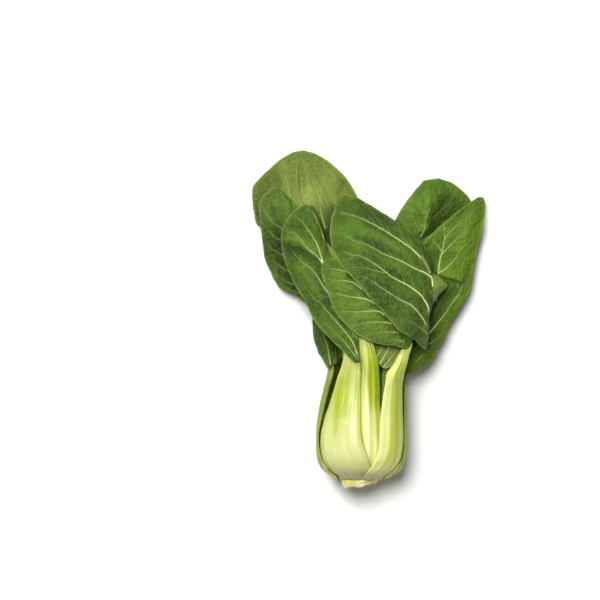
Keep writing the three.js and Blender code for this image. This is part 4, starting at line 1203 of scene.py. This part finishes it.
# %% What each stalk is like
STALKS = {}
STALKS["front_left"] = dict(
    across=16, ribs=6, green=0.02,
    tints=[
        (0.14, 9.0, [(-16, -34), (-19, -52), (-20, -70), (-19, -88)]),
        (0.24, 7.0, [(-15, -46), (-18, -60), (-19, -68)]),
        (0.45, 2.3, [(-16.5, -30), (-20.5, -48), (-22.5, -62), (-23.3, -72), (-23.4, -86)]),
        (0.5, 1.9, [(-8.4, -34), (-7.8, -54), (-7.4, -66), (-7, -78), (-5.6, -92)]),
        (-0.22, 1.5, [(-10.6, -32), (-11.4, -50), (-12, -65), (-12, -82)]),
        (0.2, 1.2, [(-13.4, -30), (-15, -42), (-16.2, -56), (-16.8, -70)]),
        (0.35, 1.6, [(-21, -34), (-26, -52), (-31, -70), (-32.6, -84), (-31, -96)]),
    ],
)
STALKS["middle"] = dict(
    across=14, ribs=4, finish=STALK_INNER, green=0.16,
    tints=[
        (0.42, 5.5, [(0, -14), (2.4, -26), (3, -38), (3.4, -50), (5.4, -66)]),
        (0.38, 1.6, [(4.6, -26), (5.6, -40), (6, -56), (6, -72), (4.6, -88)]),
        # This paler strip is the stalk's cream middle, made paler still as painted light where it
        # lies deep between the front stalks.
        (-0.8, 4.0, [(-1.2, -44), (-1, -58), (0.4, -70), (1.4, -82), (0.8, -100)]),
        (0.4, 1.4, [(-4.8, -40), (-5, -56), (-4.6, -72), (-2.6, -90)]),
        (-0.4, 0.7, [(-6, -8), (-5, -22), (-4.2, -38)]),
        (-0.4, 0.7, [(-2.6, -12), (-1.6, -26), (-1, -40)]),
        (-0.35, 0.6, [(0.6, -14), (1.6, -28), (2, -38)]),
    ],
)
STALKS["front_right"] = dict(
    across=16, ribs=6, finish=STALK_PALE, green=-0.1, leafy=0.35, rib_height=0.45,
    tints=[
        (0.15, 4.0, [(24, -16), (22.4, -24), (20.4, -33)]),
        (0.85, 3.4, [(23.6, -20), (19.4, -41.5), (18, -55), (17.8, -75.5), (16.6, -89),
                     (10, -104)]),
        (0.6, 1.8, [(21, -26), (17.2, -41.5), (15.6, -55), (15, -75.5), (13.8, -89), (9.6, -99),
                    (3, -108)]),
        (0.42, 4.2, [(26.4, -18), (23.4, -42), (22.8, -60), (22.8, -80), (20.6, -94), (10, -108)]),
        (-0.26, 2.4, [(18.4, -28), (12.8, -43), (11.2, -56), (10.6, -70), (9.8, -84), (5, -98)]),
    ],
)

# %% [markdown]
# ### The outer and the hidden stalks
#
# The left and the right stalk show as green rims beside the bulb. They clasp the stalks between
# them, so they are the ones whose inner face is snug. The other six are covered from above. They
# are ribbed in the same way and need no tints.

# %% The stalks at the sides, behind and inside
STALKS["left"] = dict(
    across=12, ribs=5, finish=STALK_GREEN, green=0.1, snug=0.45,
    tints=[(-0.15, 3.2, [(-38, -88), (-36, -98), (-32, -104), (-26, -109)])],
)
STALKS["right"] = dict(
    across=12, ribs=5, finish=STALK_GREEN, green=-0.1, snug=0.45,
    tints=[(-0.2, 3.2, [(27, -88), (26, -98), (23, -104), (16, -109)])],
)
# The top stalk shows only in the slit between the front stalks, and its dark green there is
# painted shade.
STALKS["top"] = dict(across=10, ribs=5, finish=STALK_GREEN, green=0.8)
STALKS["back_right"] = dict(across=10, ribs=5, finish=STALK_GREEN, green=0.0)
STALKS["back_left"] = dict(across=10, ribs=5, finish=STALK_GREEN, green=0.0)
STALKS["back"] = dict(across=12, ribs=6, finish=STALK_GREEN, green=0.0)
STALKS["heart_a"] = dict(across=8, ribs=4, green=0.1)
STALKS["heart_b"] = dict(across=8, ribs=4, green=0.1)
print("tints by hand:", {leaf: len(like.get("tints", [])) for leaf, like in STALKS.items()})


# %% [markdown]
# ### Ribs, and the inner face
#
# A stalk's fibres aren't evenly spaced, and one even wave across it would look like corduroy.
# Four waves of different lengths, added together, crowd and part as real ribs do. The inner face
# has no ribs of its own. Where a stalk is snug, it swells near the edges.

# %% Ribs, and the swelling behind them
WIDEST, NECK = -84, -26             # y of the bulb's widest place and of the stalks' necks
RIB_LOW, RIB_GAIN = 0.03, 0.19      # the ribs' height on the bulb, and what they gain above it
BOW, BOW_SIZE = 0.12, 15            # height and size of a stalk's slow swells


def ribs_over(s, y, count, seed):
    """A row of soft ribs over a stalk: four waves across it, each a little off the others."""
    draw = np.random.default_rng(seed)
    ribs = np.zeros_like(s)
    for k in range(4):
        waves = count * draw.uniform(0.6, 1.6)
        ribs += np.cos(math.pi * waves * s + draw.uniform(0, 6) + 0.4 * np.sin(y / 25 + k)) / 2.4
    return ribs


def swelling(s, y, z):
    """Where a stalk's inner face swells: near its edges, on the bulb's upper side."""
    tight = smooth(np.abs(s), 0.5, 0.8) * smooth(z, 30, 34)
    return tight * (1 - smooth(y, -58, -46)) * (1 + 2 * smooth(-y, 97, 101.5))


# %% [markdown]
# ### Green and cream
#
# A stalk is green where it got light and cream where it grew in the dark of the bulb. So it gets
# greener towards the neck, at its edges and in its furrows, and its foot dries out next to the
# cut. A noise could scatter the green, but the furrows' green has to lie in the furrows, so it is
# worked out from the same ribs.

# %% How green a stalk is
IN_FURROWS, AT_EDGES, EDGE = 0.17, 0.30, 0.06   # extra green, and the edges' share of the width


def stalk_values(like, leaf, front, s, y, ribs):
    """What the finish reads at each point: greener in furrows and edges, dry at the foot."""
    greener = 0.06 + 0.44 * smooth(y, WIDEST, NECK) + 0.04 * smooth(-y, 86, 104) + like["green"]
    greener = greener - IN_FURROWS * ribs * smooth(y, WIDEST, -46)
    greener = greener + folds_over(front, like.get("tints", []))
    greener = greener + AT_EDGES * np.exp(-((1 - np.abs(s)) / EDGE) ** 2)
    foot = 94 if like.get("finish") == STALK_GREEN else 99      # the outer ones dry higher up
    # Under the blades a stalk turns to the midrib's green. On the middle stalk this green is also
    # painted shade, where it shows between two leaf tips.
    under_blades = smooth(y, 10, 45) * (0.88 if leaf == "middle" else 0.92)
    at_neck = smooth(y, -34, -14) * like.get("leafy", 0)
    return {"greener": greener, "base": 0.9 * smooth(-y, foot, 108),
            "leafy": np.maximum(under_blades, at_neck)}


# %% [markdown]
# ### One stalk after the other
#
# A stalk is dressed as a blade is: a finer grid, raised by its ribs and its slow swells. Its inner
# face isn't laid below the outer one but read from the plain stalk as well. A profile swept
# along a curve would be quicker, but it would lose the way in which each stalk clasps the next.

# %% Dress a stalk
def dress_stalk(leaf, seed):
    like = STALKS[leaf]
    node = leaf + "_stalk"
    front, back = stalk_grid(node, like["across"])
    # The inner face has half the outer one's columns, so each of them gives twice as many.
    front, back = finer(front, 4, 4), finer(back, 4, 8)
    rows, columns = front.shape[:2]
    s = np.repeat(np.linspace(-1, 1, columns)[None], rows, axis=0)
    y = front[..., 1]
    width = np.linalg.norm(np.diff(front, axis=1), axis=2).sum(axis=1)[:, None]
    ribs = ribs_over(s, y, like["ribs"], seed)
    back = back - normals(back) * (like.get("snug", 0) * swelling(s, y, back[..., 2]))[..., None]
    fade = smooth(1 - np.abs(s), 0.02, 0.2) * smooth(width, 3, 14) * smooth(y, -106, -96)
    strong = RIB_LOW + RIB_GAIN * smooth(y, -80, -42)
    height = strong * like.get("rib_height", 1) * ribs * fade
    height = height + BOW * crumple(front, BOW_SIZE, seed) * smooth(width, 3, 10)
    front = front + normals(front) * height[..., None]
    values = stalk_values(like, leaf, front, s, y, ribs)
    uv = np.stack([(s + 1) / 2, y / 100 + 1.2], axis=-1)
    finish = like.get("finish", STALK)
    piece = closed_skin(leaf + "_stalk_skin", front, back, values, uv, [finish])
    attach(piece, "root")
    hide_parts(node)
    print(f"{leaf}: stalk of {len(piece.data.polygons)} faces")


for seed, leaf in enumerate(STALKS, start=40):
    dress_stalk(leaf, seed)

# %% [markdown]
# ## The butt
#
# The stump is what the knife left: a short round core with a ragged face, a collar that the
# outer leaves grow from, and the torn base of a leaf that was pulled off. It is turned like a
# vase from one profile, with far more steps than the plain model has, and then roughened. Above
# the collar the profile spreads into a flange, hidden in the bulb, which the stalks grow from:
# without it one could look in through the cracks between their feet.

# %% Turn and roughen the stump
CUT_Y, BUTT_RADIUS, BUTT_COLLAR = -113.6, 12.4, 13.3
BUTT_X, BUTT_Z = -6.5, 30.6
PROFILE = [     # radius, and distance from the cut
    (0, 1.2), (3, 1.0), (5.5, 0.8), (8.4, 0.6), (10.6, 0.4), (BUTT_RADIUS, 2.6),
    (BUTT_RADIUS + 0.4, 4.6), (BUTT_COLLAR, 6.4), (14.4, 7.6), (17, 9.4), (19.4, 10.6),
    (21.6, 11.8), (20, 13.4), (11, 14.6), (8.2, 18), (5.2, 22), (0, 28),
]
RING, RING_WIDTH = 0.74, 0.05   # a ring of tougher fibres in the cut, in shares of the radius
TORN_ANGLE = 1.15               # where round the stump the pulled leaf's base sits,
TORN_FROM, TORN_TO = -111.2, -107.2     # and between which y


def turned_stump(around=180, steps=9):
    """The stump's surface as rows x points round it, and how near each row is to the cut's rim."""
    profile = finer_one_way(np.array(PROFILE, float), steps)
    radius, depth = np.maximum(profile[:, :1], 0), profile[:, 1:]
    angle = np.linspace(0, 2 * math.pi, around, endpoint=False)[None]
    y = depth + CUT_Y
    low = smooth(CUT_Y + 7 - y, 0, 6)
    ragged = 0.6 * np.sin(3 * angle + 0.6) + 0.45 * np.sin(7 * angle)
    swell = 1 + low * 0.035 * np.sin(5 * angle + 1.1)
    x, z = radius * np.cos(angle), radius * np.sin(angle)
    y = y + low * (ragged * radius + 2.2 * x) / BUTT_RADIUS
    points = np.stack([x * swell, y, z * swell], axis=-1)
    face = 1 - smooth(points[..., 1], CUT_Y + 2, CUT_Y + 4)
    points[..., 1] += face * (0.45 * crumple(points, 5, 71) + 0.26 * crumple(points, 1.8, 72))
    points[..., 1] += face * 0.45 * np.exp(-((radius / BUTT_RADIUS - RING) / RING_WIDTH) ** 2)
    y = points[..., 1]
    torn = smooth(np.cos(angle - TORN_ANGLE), 0.86, 0.93)
    torn = torn * smooth(y, TORN_FROM, TORN_FROM + 1) * (1 - smooth(y, TORN_TO - 1, TORN_TO))
    rough = 1 + 0.018 * crumple(points, 4, 73) * low
    rough = rough + 0.075 * torn * (1 + crumple(points, 3, 74) / 3)
    points[..., [0, 2]] *= rough[..., None]
    points[..., 1] = np.maximum(points[..., 1], plain_low[1])
    rim = np.exp(-((depth - 1.3) / 0.7) ** 2) * smooth(radius, 10, 11.6)
    return points + (BUTT_X, 0, BUTT_Z), np.repeat(rim, around, axis=1)


# %% [markdown]
# ### The stump as a closed piece
#
# The rows are joined all round, and each end is closed by triangles that meet in one point. A
# screw modifier could turn the profile too, but it would give a perfectly round stump, and this
# one is ragged all the way round.

# %% Close the stump
def stump_piece():
    points, rim = turned_stump()
    rows, around = points.shape[:2]
    inner = points[1:-1].reshape(-1, 3)
    number = np.arange(len(inner)).reshape(rows - 2, around)
    ahead = np.roll(number, -1, axis=1)
    faces = np.stack([number[:-1], number[1:], ahead[1:], ahead[:-1]], -1).reshape(-1, 4).tolist()
    first, last = len(inner), len(inner) + 1
    faces += [[first, a, b] for a, b in zip(number[0], ahead[0])]
    faces += [[last, b, a] for a, b in zip(number[-1], ahead[-1])]
    corners = np.concatenate([inner, points[:1, 0], points[-1:, 0]]) * MM
    mesh = bpy.data.meshes.new("cut_stump")
    mesh.from_pydata(corners.tolist(), [], [[int(k) for k in face] for face in faces])
    mesh.polygons.foreach_set("use_smooth", [True] * len(mesh.polygons))
    pale = np.concatenate([rim[1:-1].ravel(), [0, 0]])
    mesh.attributes.new("rim", "FLOAT", "POINT").data.foreach_set("value", pale)
    mesh.materials.append(CUT)
    return placed("cut_stump", mesh)


stump = stump_piece()
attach(stump, "root")
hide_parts("butt")
print("stump of", len(stump.data.polygons), "faces")

# %% [markdown]
# ## Table and light
#
# The head lies on a plain pale table under two round soft lights. One hangs nearly overhead and
# models the stalks. The other stands lower, beyond the leaf tips and to the left, so that the
# shadows fall towards the butt and to the right. A ring of many small lamps would do as well,
# but two are easier to balance. A pale sky all round keeps the shadows open.

# %% Set the table
def studio():
    bpy.ops.mesh.primitive_plane_add(size=8, location=(0, 0, 0))
    table = bpy.context.object
    table.name = "table"
    paper = Finish("pale table", Roughness=0.8)
    tint = paper.noise(paper.place(), 3, 2)
    paper.surface(Base_Color=paper.mix(tint, (0.86, 0.86, 0.86), (0.88, 0.88, 0.876)))
    table.data.materials.append(paper.material)

    world = bpy.data.worlds.new("pale sky")
    world.use_nodes = True
    sky = world.node_tree.nodes["Background"].inputs
    sky["Color"].default_value, sky["Strength"].default_value = (1.0, 0.99, 0.95, 1), 0.21
    bpy.context.scene.world = world


def lamp(name, place, size, watts):
    """A round soft light, metres wide, turned to the middle of the head."""
    light = bpy.data.lights.new(name, "AREA")
    light.shape, light.size, light.energy = "DISK", size, watts
    holder = placed(name, light)
    holder.location = place
    aim = Vector((0, 0, 0.02)) - Vector(place)
    holder.rotation_euler = aim.to_track_quat("-Z", "Y").to_euler()


studio()
lamp("overhead key", (-0.21, 0.34, 1.6), 0.62, 29.5)
lamp("side light", (-0.6, 1.15, 0.95), 0.5, 17)

# %% [markdown]
# ## Camera
#
# The camera hangs high above and looks straight down with a long lens, which shows the widths and
# lengths nearly as they are. A camera without perspective would show them exactly, but a real
# lens never does.

# %% Hang the camera
LENS, SENSOR = 300.0, 36.0
FRAMED_AT, SEEN_WIDTH = 0.03, 0.408     # at this height, so many metres fill the frame
camera = placed("camera", bpy.data.cameras.new("camera"))
camera.data.lens, camera.data.sensor_width = LENS, SENSOR
camera.data.clip_end = 20
camera.location = (-0.0473, 0.0129, FRAMED_AT + SEEN_WIDTH * LENS / SENSOR)
bpy.context.scene.camera = camera
bpy.context.scene.view_settings.view_transform = "Standard"
print("table, two lights and camera placed")

# %% [markdown]
# ## The size of the dressed head
#
# The dressed head must be no larger than the plain one, whose size other things may rely on. So
# the skins and veins above were kept inside the plain box, which is printed once more here.

# %% Print the plain box
print("plain", plain_box)
